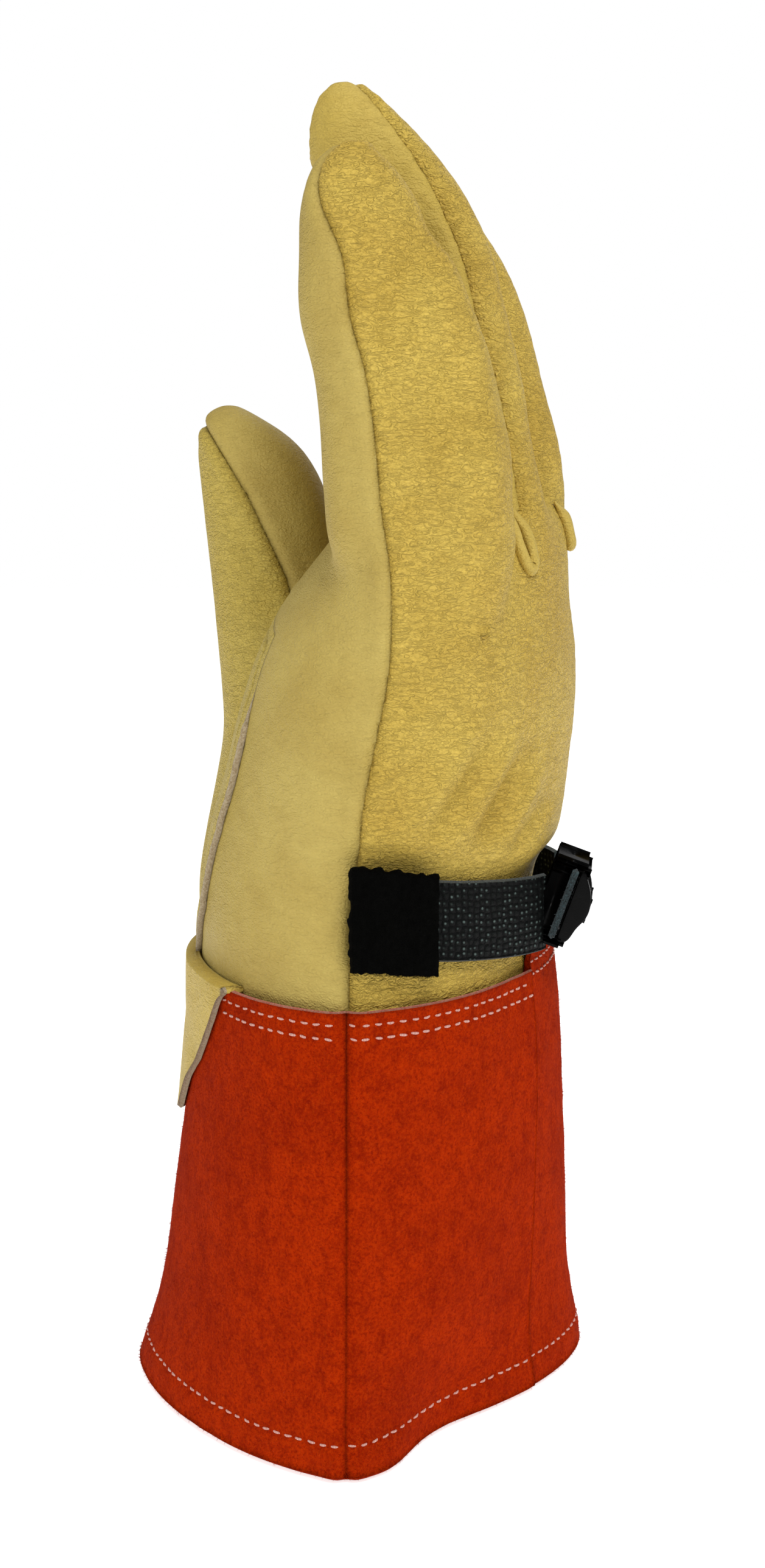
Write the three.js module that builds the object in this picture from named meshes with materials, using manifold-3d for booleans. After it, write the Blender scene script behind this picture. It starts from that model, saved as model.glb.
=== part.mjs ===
import * as THREE from 'three';
import { mergeVertices } from 'three/addons/utils/BufferGeometryUtils.js';
import Module from 'manifold-3d';

// A leather protector glove for the left hand, standing on the hem of its gauntlet cuff.
// Millimetres. X runs from the palm to the back, Y from the little finger's edge to the thumb's side, Z up.

// Main sizes
const GLOVE_HEIGHT = 309;
const HALF_BREADTH = 55;
const CUFF_HEIGHT = 105;
const HALF_HEM = 66;
const STRAP_WIDTH = 19;

// Material thicknesses and the air between pieces
const LEATHER = 2;
const SUEDE = 2.2;
const WEBBING = 1.5;
const FELT = 2.6;
const GAP = 0.3;

// Facets round each tube
const HAND_FACETS = 30;
const FINGER_FACETS = 12;
const THUMB_FACETS = 14;
const CUFF_FACETS = 44;

// Colours
const COLOURS = {
  palmLeather: '#bda76a',
  backLeather: '#cba954',
  thumbLeather: '#a8924e',
  suede: '#bb380b',
  webbing: '#18221f',
  felt: '#0b0b0b',
  plastic: '#0d0d0e',
};

// Sections of the hand. Heights are shares of the glove's height, the rest shares of half the hand's breadth.
// seam is where the palm and back meet at the little finger's edge, and lean how far that line moves back
// towards the middle of the hand.
const HAND_ROWS = [
  {
    up: 0.362, seam: -0.015, lean: 0.073, palm: -0.68, back: 0.84,
    ulnar: -0.996, radial: 0.993, nose: 1.16,
  },
  {
    up: 0.401, seam: -0.002, lean: 0.091, palm: -0.667, back: 0.84,
    ulnar: -0.985, radial: 0.989, nose: 1.1,
  },
  {
    up: 0.447, seam: 0.018, lean: 0.109, palm: -0.622, back: 0.902,
    ulnar: -0.993, radial: 1, nose: 1.06,
  },
  {
    up: 0.489, seam: 0.045, lean: 0.127, palm: -0.545, back: 0.931,
    ulnar: -1.004, radial: 1.011, nose: 1.03,
  },
  {
    up: 0.534, seam: 0.093, lean: 0.145, palm: -0.487, back: 0.956,
    ulnar: -1.011, radial: 1.018, nose: 1,
  },
  {
    up: 0.578, seam: 0.138, lean: 0.145, palm: -0.409, back: 0.956,
    ulnar: -1.011, radial: 1.018, nose: 1,
  },
  {
    up: 0.621, seam: 0.151, lean: 0.145, palm: -0.284, back: 0.927,
    ulnar: -1.007, radial: 1.015, nose: 1.22,
  },
  { up: 0.663, seam: 0.135, lean: 0.145, palm: -0.1, back: 0.916, ulnar: -0.996, radial: 1, nose: 1.65 },
  {
    up: 0.686, seam: 0.125, lean: 0.145, palm: 0.009, back: 0.873,
    ulnar: -0.956, radial: 0.96, nose: 1.95,
  },
  {
    up: 0.699, seam: 0.116, lean: 0.145, palm: 0.136, back: 0.764,
    ulnar: -0.882, radial: 0.882, nose: 1.95,
  },
];

// Sections of the fingers. palm and back are their two faces, and half is half the width, in the same shares.
const FINGERS = [
  { name: 'little', across: -0.745, rows: [
    { up: 0.608, palm: 0.055, back: 0.582, half: 0.173 },
    { up: 0.663, palm: -0.1, back: 0.718, half: 0.24 },
    { up: 0.706, palm: -0.116, back: 0.665, half: 0.238 },
    { up: 0.741, palm: -0.124, back: 0.622, half: 0.236 },
    { up: 0.782, palm: -0.151, back: 0.564, half: 0.236 },
    { up: 0.822, palm: -0.204, back: 0.487, half: 0.235 },
    { up: 0.864, palm: -0.2, back: 0.393, half: 0.227 },
    { up: 0.9, palm: -0.189, back: 0.258, half: 0.204 },
    { up: 0.924, palm: -0.135, back: 0.156, half: 0.149 },
    { up: 0.939, palm: -0.047, back: 0.062, half: 0.058 },
  ] },
  { name: 'ring', across: -0.255, rows: [
    { up: 0.608, palm: 0.109, back: 0.727, half: 0.182 },
    { up: 0.663, palm: 0, back: 0.827, half: 0.236 },
    { up: 0.706, palm: 0, back: 0.785, half: 0.236 },
    { up: 0.738, palm: 0.009, back: 0.742, half: 0.236 },
    { up: 0.788, palm: -0.009, back: 0.693, half: 0.236 },
    { up: 0.827, palm: -0.036, back: 0.64, half: 0.235 },
    { up: 0.871, palm: -0.091, back: 0.571, half: 0.233 },
    { up: 0.909, palm: -0.145, back: 0.469, half: 0.225 },
    { up: 0.942, palm: -0.171, back: 0.338, half: 0.204 },
    { up: 0.968, palm: -0.164, back: 0.2, half: 0.16 },
    { up: 0.984, palm: -0.127, back: 0.095, half: 0.102 },
    { up: 0.992, palm: -0.08, back: 0.029, half: 0.044 },
  ] },
  { name: 'middle', across: 0.236, rows: [
    { up: 0.608, palm: 0.182, back: 0.827, half: 0.182 },
    { up: 0.663, palm: 0.091, back: 0.924, half: 0.236 },
    { up: 0.722, palm: 0.1, back: 0.907, half: 0.236 },
    { up: 0.78, palm: 0.096, back: 0.827, half: 0.236 },
    { up: 0.811, palm: 0.082, back: 0.782, half: 0.236 },
    { up: 0.838, palm: 0.055, back: 0.733, half: 0.235 },
    { up: 0.874, palm: -0.009, back: 0.64, half: 0.231 },
    { up: 0.919, palm: -0.091, back: 0.473, half: 0.222 },
    { up: 0.953, palm: -0.145, back: 0.327, half: 0.196 },
    { up: 0.977, palm: -0.153, back: 0.2, half: 0.153 },
    { up: 0.992, palm: -0.124, back: 0.098, half: 0.098 },
    { up: 1, palm: -0.073, back: 0.033, half: 0.044 },
  ] },
  { name: 'index', across: 0.727, rows: [
    { up: 0.608, palm: 0.255, back: 0.809, half: 0.173 },
    { up: 0.663, palm: 0.164, back: 0.891, half: 0.235 },
    { up: 0.706, palm: 0.155, back: 0.865, half: 0.236 },
    { up: 0.793, palm: 0.118, back: 0.745, half: 0.235 },
    { up: 0.835, palm: 0.064, back: 0.655, half: 0.231 },
    { up: 0.867, palm: 0, back: 0.564, half: 0.224 },
    { up: 0.909, palm: -0.082, back: 0.391, half: 0.198 },
    { up: 0.935, palm: -0.109, back: 0.255, half: 0.153 },
    { up: 0.951, palm: -0.084, back: 0.153, half: 0.102 },
    { up: 0.961, palm: -0.025, back: 0.065, half: 0.047 },
  ] },
];

// Sections of the thumb and the ball of the thumb. outer faces away from the palm, inner towards it.
const THUMB_ROWS = [
  { up: 0.33, outer: -0.545, inner: 0.073, across: 0.291, half: 0.4 },
  { up: 0.356, outer: -0.702, inner: 0.109, across: 0.327, half: 0.473 },
  { up: 0.388, outer: -0.724, inner: 0.145, across: 0.364, half: 0.5 },
  { up: 0.424, outer: -0.698, inner: 0.182, across: 0.4, half: 0.509 },
  { up: 0.469, outer: -0.647, inner: 0.182, across: 0.436, half: 0.491 },
  { up: 0.505, outer: -0.618, inner: 0.164, across: 0.491, half: 0.455 },
  { up: 0.547, outer: -0.633, inner: 0.127, across: 0.545, half: 0.409 },
  { up: 0.583, outer: -0.653, inner: 0.082, across: 0.582, half: 0.373 },
  { up: 0.621, outer: -0.676, inner: 0.009, across: 0.618, half: 0.336 },
  { up: 0.696, outer: -0.722, inner: -0.135, across: 0.645, half: 0.284 },
  { up: 0.725, outer: -0.738, inner: -0.218, across: 0.655, half: 0.255 },
  { up: 0.744, outer: -0.731, inner: -0.318, across: 0.655, half: 0.215 },
  { up: 0.759, outer: -0.698, inner: -0.445, across: 0.655, half: 0.153 },
  { up: 0.769, outer: -0.636, inner: -0.545, across: 0.655, half: 0.062 },
];

// Sections of the cuff. Heights are shares of the cuff's height, the rest shares of half the hem's breadth.
// The nose exponents sharpen the two side edges, and the crest exponents the palm side and the back.
const CUFF_ROWS = [
  {
    up: 0, palm: -0.833, back: 0.867, ulnar: -1, radial: 0.985,
    palmNose: 1.42, palmCrest: 1.16, backNose: 1.7, backCrest: 1.26,
  },
  {
    up: 0.076, palm: -0.8, back: 0.856, ulnar: -0.989, radial: 0.973,
    palmNose: 1.4, palmCrest: 1.15, backNose: 1.68, backCrest: 1.25,
  },
  {
    up: 0.238, palm: -0.73, back: 0.815, ulnar: -0.967, radial: 0.948,
    palmNose: 1.36, palmCrest: 1.12, backNose: 1.6, backCrest: 1.2,
  },
  {
    up: 0.571, palm: -0.659, back: 0.791, ulnar: -0.924, radial: 0.915,
    palmNose: 1.3, palmCrest: 1.1, backNose: 1.45, backCrest: 1.14,
  },
  {
    up: 0.838, palm: -0.609, back: 0.767, ulnar: -0.892, radial: 0.889,
    palmNose: 1.24, palmCrest: 1.07, backNose: 1.32, backCrest: 1.08,
  },
  {
    up: 1, palm: -0.603, back: 0.741, ulnar: -0.873, radial: 0.871,
    palmNose: 1.18, palmCrest: 1.04, backNose: 1.22, backCrest: 1.05,
  },
  {
    up: 1.048, palm: -0.602, back: 0.736, ulnar: -0.868, radial: 0.867,
    palmNose: 1.18, palmCrest: 1.04, backNose: 1.2, backCrest: 1.04,
  },
];

// Soft dents, in shares of the glove's height (up) and of half the hand's breadth (the rest)
const DENTS = [
  {
    name: 'hem beside the seam',
    x: 0.2, y: -1.14, up: 0, radius: 0.16, depth: 0.05,
    toward: [0.3, -0.95, 0],
  },
  {
    name: 'cuff back beside the seam',
    x: 0.42, y: -0.84, up: 0, radius: 0.34, depth: 0.1,
    toward: [-0.7, 0.7, 0],
  },
  {
    name: 'cuff back above the hem',
    x: 0.75, y: -0.5, up: 0.03, radius: 0.4, depth: 0.04,
    toward: [-0.7, 0.7, 0],
  },
  {
    name: 'little finger, back edge',
    x: 0.42, y: -0.98, up: 0.862, radius: 0.2, depth: 0.055,
    toward: [-0.4, 0.9, 0],
  },
  {
    name: 'little finger, low on the back edge',
    x: 0.56, y: -0.9, up: 0.765, radius: 0.2, depth: 0.05,
    toward: [-0.5, 0.85, 0],
  },
  {
    name: 'heel of the hand',
    x: -0.3, y: -0.8, up: 0.44, radius: 0.35, depth: 0.035,
    toward: [0.5, 0.85, 0],
  },
  {
    name: 'wrist on the back',
    x: 0.6, y: -0.7, up: 0.46, radius: 0.22, depth: 0.04,
    toward: [-0.7, 0.7, 0],
  },
];

// Where the seams run
const FINGER_BOX = 0.8;
const PALM_SEAM_SHARE = 0.28;
const BACK_SEAM_SHARE = 0.77;
const FORK_LOW = 0.667 * GLOVE_HEIGHT;
const CUFF_SEAM_X = -1.4;
const CUFF_OVERLAP_Y = -20;
const CUFF_BACK_STEP = 4.6;
const CUFF_NOSE_INSET = 1.5;
const CUFF_CREST_SHIFT = 0.12;

// The palm's free edge over the ball of the thumb: how far across, by height
const THUMB_EDGE = [
  { up: 0.28, across: -0.1 },
  { up: 0.345, across: -0.147 },
  { up: 0.389, across: -0.385 },
  { up: 0.449, across: -0.5 },
  { up: 0.52, across: -0.555 },
  { up: 0.598, across: -0.5 },
  { up: 0.625, across: 0 },
  { up: 0.66, across: 0.25 },
  { up: 0.9, across: 0.25 },
];
// The line between the thumb and the fingers' fronts, seen from the side
const THUMB_CROTCH = [
  { up: 0.28, x: 1.3 },
  { up: 0.596, x: 1.3 },
  { up: 0.6, x: 0.3 },
  { up: 0.646, x: 0.03 },
  { up: 0.69, x: -0.05 },
  { up: 0.722, x: -0.11 },
  { up: 0.742, x: -0.17 },
  { up: 0.8, x: -0.5 },
];
// The slanting seam of the thumb
const THUMB_SEAM_TOP = { x: -0.72, up: 0.757 };
const THUMB_SEAM_FOOT = { x: -0.28, up: 0.607 };
const THUMB_FRONT_LOW = 0.57;

// The vein patch's outline on the palm side of the cuff
const PATCH_OUTLINE = [
  { across: -0.7, up: 0.342 },
  { across: -0.66, up: 0.33 },
  { across: -0.6, up: 0.304 },
  { across: -0.5, up: 0.272 },
  { across: -0.4, up: 0.252 },
  { across: -0.2, up: 0.228 },
  { across: 0, up: 0.211 },
  { across: 0.25, up: 0.203 },
  { across: 0.45, up: 0.225 },
  { across: 0.6, up: 0.28 },
  { across: 0.7, up: 0.342 },
];
const PATCH_THICKNESS = 1.6;

// Heights of the hand's lower sections: inside the cuff, just clear of it, and round the wrist
const HAND_FOOT = 0.857 * CUFF_HEIGHT;
const HAND_FREE = 1.0525 * CUFF_HEIGHT;
const WRIST_RINGS = [1.0905, 1.133, 1.2, 1.2475, 1.29, 1.343].map((share) => share * CUFF_HEIGHT);
const WRIST_TOP = 1.43 * CUFF_HEIGHT;
const SEAM_FOOT = 0.57 * CUFF_HEIGHT;

// The strap's line: its middle height falls from the little finger's edge to the slide
const STRAP_HEIGHT = 0.413 * GLOVE_HEIGHT;
const STRAP_LIFT = 1.8;
const ANCHOR_LIFT = 3;
const STRAP_FALL = 0.2;
const STRAP_FALL_END = 42;
const CINCH = 0.075;
const CINCH_FROM = 9.5;
const CINCH_TO = 17;
const STRAP_FROM = -1.5;
const STRAP_TO = -0.32;
const STRAP_LEAVES = -0.8;
const STRAP_STAND = 4.5;
const ANCHOR_FROM = 0.22;
const ANCHOR_TO = 1.35;
const PATCH_FROM = -1.62;
const PATCH_TO = -1.13;
const FELT_HEIGHT = 22.2;

// The slide
const SLIDE = {
  turn: -0.13,
  tilt: 0.3,
  length: 24,
  height: 22.5,
  thickness: 3.2,
  slot: 5,
  rim: 2.6,
  stand: 8,
  clear: 1.8,
  fold: 3,
};

// Knuckle darts: raised hairpins where the strips between the fingers end
const DARTS = [
  { name: 'dart_little_ring', across: -29, foot: 0.648, head: 0.703 },
  { name: 'dart_ring_middle', across: -0.5, foot: 0.662, head: 0.708 },
  { name: 'dart_middle_index', across: 26.5, foot: 0.66, head: 0.706 },
];
const DART_HALF_WIDTH = 2.7;
const DART_ROLL = 1.2;
const DART_STAND = 1.3;

// Helpers for tables
function smooth(from, to, value) {
  const share = Math.min(1, Math.max(0, (value - from) / (to - from)));
  return share * share * (3 - 2 * share);
}

function power(value, exponent) {
  return Math.sign(value) * Math.pow(Math.abs(value), exponent);
}

function lookUp(rows, key, up) {
  const last = rows.length - 1;
  if (up <= rows[0].up) return rows[0][key];
  if (up >= rows[last].up) return rows[last][key];
  let at = 0;
  while (rows[at + 1].up < up) at += 1;
  const slope = (low, high) => (rows[high][key] - rows[low][key]) / (rows[high].up - rows[low].up);
  const span = rows[at + 1].up - rows[at].up;
  const share = (up - rows[at].up) / span;
  const before = slope(Math.max(0, at - 1), at + 1) * span;
  const after = slope(at, Math.min(last, at + 2)) * span;
  const square = share * share;
  const cube = square * share;
  return (2 * cube - 3 * square + 1) * rows[at][key] + (cube - 2 * square + share) * before
    + (3 * square - 2 * cube) * rows[at + 1][key] + (cube - square) * after;
}

function rowAt(rows, up) {
  const row = {};
  for (const key of Object.keys(rows[0])) row[key] = lookUp(rows, key, up);
  return row;
}

function dented(point) {
  for (const dent of DENTS) {
    const dx = point.x / HALF_BREADTH - dent.x;
    const dy = point.y / HALF_BREADTH - dent.y;
    const dz = (point.z - dent.up * GLOVE_HEIGHT) / HALF_BREADTH;
    const share = Math.exp(-(dx * dx + dy * dy + dz * dz) / (dent.radius * dent.radius));
    const depth = dent.depth * HALF_BREADTH * share;
    point.x += dent.toward[0] * depth;
    point.y += dent.toward[1] * depth;
    point.z += dent.toward[2] * depth;
  }
  return point;
}

// Points on the walls
function cuffPoint(z, turn, inset) {
  const row = rowAt(CUFF_ROWS, z / CUFF_HEIGHT);
  const c = Math.cos(turn);
  const s = Math.sin(turn);
  const toPalm = c < 0;
  const reach = (toPalm ? CUFF_SEAM_X - row.palm * HALF_HEM : row.back * HALF_HEM - CUFF_SEAM_X) - inset;
  const halfWide = (s < 0 ? -row.ulnar : row.radial) * HALF_HEM - inset * CUFF_NOSE_INSET;
  const x = CUFF_SEAM_X + reach * power(c, toPalm ? row.palmNose : row.backNose);
  const shift = toPalm ? 0 : CUFF_CREST_SHIFT * HALF_HEM * c * c;
  const y = halfWide * power(s, toPalm ? row.palmCrest : row.backCrest) + shift;
  return dented(new THREE.Vector3(x, y, z));
}

function strapLine(x) {
  return STRAP_HEIGHT - STRAP_FALL * Math.min(STRAP_FALL_END, Math.max(0, x));
}

function handPoint(z, turn, inset) {
  const row = rowAt(HAND_ROWS, z / GLOVE_HEIGHT);
  const c = Math.cos(turn);
  const s = Math.sin(turn);
  const halfWide = (s < 0 ? -row.ulnar : row.radial) * HALF_BREADTH - inset;
  const y = halfWide * s;
  const middle = (row.seam + row.lean) * HALF_BREADTH;
  const axis = middle + row.lean * HALF_BREADTH * s;
  const reach = (c < 0 ? middle - row.palm * HALF_BREADTH : row.back * HALF_BREADTH - middle) - inset;
  const point = new THREE.Vector3(axis + reach * power(c, row.nose), y, z);
  const near = 1 - smooth(CINCH_FROM, CINCH_TO, Math.abs(z - strapLine(point.x)));
  const pull = CINCH * near * smooth(-8, 12, point.x);
  point.x -= (point.x - middle) * pull;
  point.y -= point.y * pull;
  return dented(point);
}

function tubePoint(low, high, across, half, z, turn, exponent) {
  const x = (low + high) / 2 + (high - low) / 2 * power(Math.cos(turn), exponent);
  const y = across + half * power(Math.sin(turn), exponent);
  return dented(new THREE.Vector3(x, y, z));
}

// Turning rings of points into closed solids
function ring(count, place) {
  return Array.from({ length: count }, (_, step) => place(2 * Math.PI * step / count));
}

function solid(rings) {
  const count = rings[0].length;
  const points = rings.flat();
  const faces = [];
  for (let level = 0; level < rings.length - 1; level += 1) {
    for (let step = 0; step < count; step += 1) {
      const next = (step + 1) % count;
      const a = level * count + step;
      const b = level * count + next;
      faces.push([a, b, b + count], [a, b + count, a + count]);
    }
  }
  const top = (rings.length - 1) * count;
  const centre = (from) => points.slice(from, from + count)
    .reduce((sum, point) => sum.add(point), new THREE.Vector3()).divideScalar(count);
  const foot = points.push(centre(0)) - 1;
  const head = points.push(centre(top)) - 1;
  for (let step = 0; step < count; step += 1) {
    const next = (step + 1) % count;
    faces.push([foot, next, step], [head, top + step, top + next]);
  }
  return manifold(points, faces);
}

function manifold(points, faces) {
  let volume = 0;
  for (const [a, b, c] of faces) {
    volume += points[a].dot(new THREE.Vector3().crossVectors(points[b], points[c]));
  }
  const order = volume < 0 ? faces.map(([a, b, c]) => [a, c, b]) : faces;
  const made = new wasm.Mesh({
    numProp: 3,
    vertProperties: new Float32Array(points.flatMap((point) => [point.x, point.y, point.z])),
    triVerts: new Uint32Array(order.flat()),
  });
  return new wasm.Manifold(made);
}

// A straight prism whose outline is given in the plane across the named axis
function prism(outline, along, from, to) {
  const flat = outline.map(([a, b]) => new THREE.Vector2(a, b));
  const place = along === 'y' ? (point, at) => new THREE.Vector3(point.x, at, point.y)
    : (point, at) => new THREE.Vector3(at, point.x, point.y);
  const points = [...flat.map((point) => place(point, from)), ...flat.map((point) => place(point, to))];
  const count = flat.length;
  const faces = [];
  for (const [a, b, c] of THREE.ShapeUtils.triangulateShape(flat, [])) {
    faces.push([a, b, c], [a + count, c + count, b + count]);
  }
  const turned = THREE.ShapeUtils.isClockWise(flat) ? 1 : -1;
  for (let step = 0; step < count; step += 1) {
    const next = (step + 1) % count;
    const side = [[step, next, next + count], [step, next + count, step + count]];
    faces.push(...(turned < 0 ? side.map(([a, b, c]) => [a, c, b]) : side));
  }
  return manifold(points, faces);
}

function join(parts) {
  return parts.reduce((whole, part) => whole.add(part));
}

const wasm = await Module();
wasm.setup();

const FAR = 300;
const fingerEdges = [-FAR, ...FINGERS.slice(1).map((finger, index) => (
  (finger.across + FINGERS[index].across) / 2 * HALF_BREADTH)), FAR];

// The hand, fingers and thumb as filled shapes, drawn in by the given amount
function handShape(inset) {
  const tops = HAND_ROWS.map((row) => row.up * GLOVE_HEIGHT);
  const heights = [...WRIST_RINGS, ...tops.filter((z) => z > WRIST_TOP)];
  const inCuff = [HAND_FOOT, HAND_FREE].map((z) => ring(HAND_FACETS, (turn) => (
    cuffPoint(z - (inset > 0 && z < CUFF_HEIGHT ? LEATHER : 0), turn, SUEDE + GAP * 2 + inset))));
  const rings = heights.map((z) => ring(HAND_FACETS, (turn) => handPoint(z, turn, inset)));
  rings.slice(-2).forEach((top) => top.forEach((point) => { point.z -= inset; }));
  return solid([...inCuff, ...rings]);
}

function fingerShape(finger, inset) {
  const rows = finger.rows;
  const top = rows[rows.length - 1].up;
  const rings = rows.map((row) => {
    const lower = inset * smooth(top - 0.1, top, row.up);
    const side = Math.min(inset, row.half * HALF_BREADTH * 0.6);
    const front = row.palm * HALF_BREADTH + side;
    const behind = row.back * HALF_BREADTH - side;
    const across = finger.across * HALF_BREADTH;
    const half = row.half * HALF_BREADTH - side;
    const z = row.up * GLOVE_HEIGHT - lower;
    return ring(FINGER_FACETS, (turn) => tubePoint(front, behind, across, half, z, turn, FINGER_BOX));
  });
  return solid(rings);
}

function thumbShape(inset) {
  const top = THUMB_ROWS[THUMB_ROWS.length - 1].up;
  const rings = THUMB_ROWS.map((row) => {
    const lower = inset * smooth(top - 0.1, top, row.up);
    const side = Math.min(inset, row.half * HALF_BREADTH * 0.6);
    const outer = row.outer * HALF_BREADTH + side;
    const inner = row.inner * HALF_BREADTH - side;
    const across = row.across * HALF_BREADTH;
    const half = row.half * HALF_BREADTH - side;
    const z = row.up * GLOVE_HEIGHT - lower;
    return ring(THUMB_FACETS, (turn) => tubePoint(outer, inner, across, half, z, turn, 1));
  });
  return solid(rings);
}

const outerHand = join([handShape(0), ...FINGERS.map((finger) => fingerShape(finger, 0)), thumbShape(0)]);
const clearHand = join([handShape(-GAP), ...FINGERS.map((finger) => fingerShape(finger, -GAP))]);
const innerHand = join([handShape(LEATHER), ...FINGERS.map((finger) => fingerShape(finger, LEATHER)),
  thumbShape(LEATHER)]);
const shell = outerHand.subtract(innerHand);

// Regions that part the shell into its leather pieces
function seamLine(place, low, high, steps) {
  return Array.from({ length: steps + 1 }, (_, step) => {
    const z = low + (high - low) * step / steps;
    return [place(z), z];
  });
}

function sideOf(line, toward, from, to) {
  const low = line[0][1];
  const high = line[line.length - 1][1];
  return prism([...line, [toward, high], [toward, low]], 'y', from, to);
}

function fingerSeam(finger, share) {
  return (z) => {
    const row = rowAt(finger.rows, z / GLOVE_HEIGHT);
    return (row.palm + (row.back - row.palm) * share) * HALF_BREADTH;
  };
}

function palmRegion(grow) {
  const parts = [];
  const handSeam = (side) => (z) => {
    const row = rowAt(HAND_ROWS, z / GLOVE_HEIGHT);
    return (row.seam + row.lean * (1 + side)) * HALF_BREADTH + grow;
  };
  parts.push(sideOf(seamLine(handSeam(-1), SEAM_FOOT, FORK_LOW, 10), -FAR, -FAR, 0.01));
  parts.push(sideOf(seamLine(handSeam(1), SEAM_FOOT, FORK_LOW, 10), -FAR, 0, FAR));
  FINGERS.forEach((finger, index) => {
    const seam = fingerSeam(finger, PALM_SEAM_SHARE);
    const line = seamLine((z) => seam(z) + grow, FORK_LOW - 0.01, GLOVE_HEIGHT, 8);
    line.push([line[line.length - 1][0], GLOVE_HEIGHT + 10]);
    parts.push(sideOf(line, -FAR, fingerEdges[index] - 0.01, fingerEdges[index + 1]));
  });
  return join(parts);
}

function forkRegion(index, grow) {
  const half = (finger, from, to) => {
    const front = fingerSeam(finger, PALM_SEAM_SHARE);
    const behind = fingerSeam(finger, BACK_SEAM_SHARE);
    const low = FORK_LOW - grow;
    const up = seamLine((z) => behind(z) + grow, low, GLOVE_HEIGHT, 8);
    const down = seamLine((z) => front(z) - grow, low, GLOVE_HEIGHT, 8).reverse();
    const lift = (point) => [point[0], point[1] + 10];
    return prism([...up, lift(up[up.length - 1]), lift(down[0]), ...down], 'y', from, to);
  };
  const near = FINGERS[index];
  const far = FINGERS[index + 1];
  const edge = fingerEdges[index + 1];
  const nearHalf = half(near, near.across * HALF_BREADTH - grow, edge + 0.01);
  return nearHalf.add(half(far, edge, far.across * HALF_BREADTH + grow));
}

function thumbRegion(grow) {
  const edge = THUMB_EDGE.map((row) => [row.across * HALF_BREADTH - grow, row.up * GLOVE_HEIGHT]);
  const across = prism([...edge, [FAR, edge[edge.length - 1][1]], [FAR, edge[0][1]]], 'x', -FAR, FAR);
  const crotch = THUMB_CROTCH.map((row) => [row.x * HALF_BREADTH + grow, row.up * GLOVE_HEIGHT]);
  return across.intersect(sideOf(crotch, -FAR, -FAR, FAR));
}

const palmSide = palmRegion(-GAP / 2);
const palmSideGrown = palmRegion(GAP / 2);
const forks = [0, 1, 2].map((index) => forkRegion(index, 0));
const forksGrown = join([0, 1, 2].map((index) => forkRegion(index, GAP)));
const thumbSide = thumbRegion(0);
const thumbGrown = thumbRegion(GAP);

const withoutForks = shell.subtract(forksGrown);
const thumbWhole = withoutForks.intersect(palmSide).intersect(thumbSide);
const palm = withoutForks.intersect(palmSide).subtract(thumbGrown);
const back = withoutForks.subtract(palmSideGrown);

function thumbSeamSide(offset) {
  const foot = [THUMB_SEAM_FOOT.x * HALF_BREADTH, THUMB_SEAM_FOOT.up * GLOVE_HEIGHT];
  const top = [THUMB_SEAM_TOP.x * HALF_BREADTH, THUMB_SEAM_TOP.up * GLOVE_HEIGHT];
  const along = new THREE.Vector2(foot[0] - top[0], foot[1] - top[1]).normalize();
  const aside = new THREE.Vector2(-along.y, along.x);
  const place = (run, rise) => [
    top[0] + along.x * run + aside.x * rise,
    top[1] + along.y * run + aside.y * rise,
  ];
  return prism([place(-FAR, offset), place(FAR, offset), place(FAR, FAR), place(-FAR, FAR)], 'y', -FAR, FAR);
}

const slab = (x0, x1, y0, y1, z0, z1) => prism([[x0, z0], [x1, z0], [x1, z1], [x0, z1]], 'y', y0, y1);
const aboveFoot = (offset) => slab(-FAR, FAR, -FAR, FAR, THUMB_FRONT_LOW * GLOVE_HEIGHT + offset, FAR * 2);
const thumbFront = thumbWhole.intersect(thumbSeamSide(GAP / 2)).intersect(aboveFoot(GAP / 2));
const thumbBack = thumbWhole.subtract(thumbSeamSide(-GAP / 2).intersect(aboveFoot(-GAP / 2)));

// The cuff
function cuffShape(inset, low, high) {
  const heights = CUFF_ROWS.map((row) => row.up * CUFF_HEIGHT).filter((z) => z > 0 && z < high - 1);
  return solid([low, ...heights, high].map((z) => ring(CUFF_FACETS, (turn) => {
    const point = cuffPoint(Math.max(0, z), turn, inset);
    point.z = z;
    return point;
  })));
}

const cuffTop = CUFF_HEIGHT + CUFF_BACK_STEP;
const cuffWall = cuffShape(0, 0, cuffTop).subtract(cuffShape(SUEDE, -2, cuffTop + 2));
const cuffPalm = cuffWall.intersect(slab(-FAR, CUFF_SEAM_X - GAP / 2, -FAR, FAR, -1, CUFF_HEIGHT));
const backFrom = CUFF_SEAM_X + GAP / 2;
const ulnarTo = CUFF_OVERLAP_Y - GAP / 2;
const radialFrom = CUFF_OVERLAP_Y + GAP / 2;
const cuffBackUlnar = cuffWall.intersect(slab(backFrom, FAR, -FAR, ulnarTo, -1, CUFF_HEIGHT));
const cuffBackRadial = cuffWall.intersect(slab(backFrom, FAR, radialFrom, FAR, -1, cuffTop));

// The vein patch lies on the cuff's palm side
const patchOutline = PATCH_OUTLINE.map((row) => [row.across * HALF_BREADTH, row.up * GLOVE_HEIGHT]);
const patchBlock = prism(patchOutline, 'x', -FAR, 0);
const veinPatch = cuffShape(-GAP - PATCH_THICKNESS, -2, cuffTop + 2)
  .subtract(cuffShape(-GAP, -3, cuffTop + 3)).intersect(patchBlock);

// Bands laid on the wrist: the strap, its felt patch and the anchor
function wristFrame(turn, lift) {
  const middle = handPoint(strapLine(handPoint(STRAP_HEIGHT, turn, 0).x), turn, 0);
  const before = handPoint(middle.z, turn - 0.02, 0);
  const after = handPoint(middle.z, turn + 0.02, 0);
  const along = after.sub(before).setZ(0).normalize();
  const out = new THREE.Vector3(along.y, -along.x, 0);
  return { at: middle.clone().addScaledVector(out, lift), along, out };
}

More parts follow.
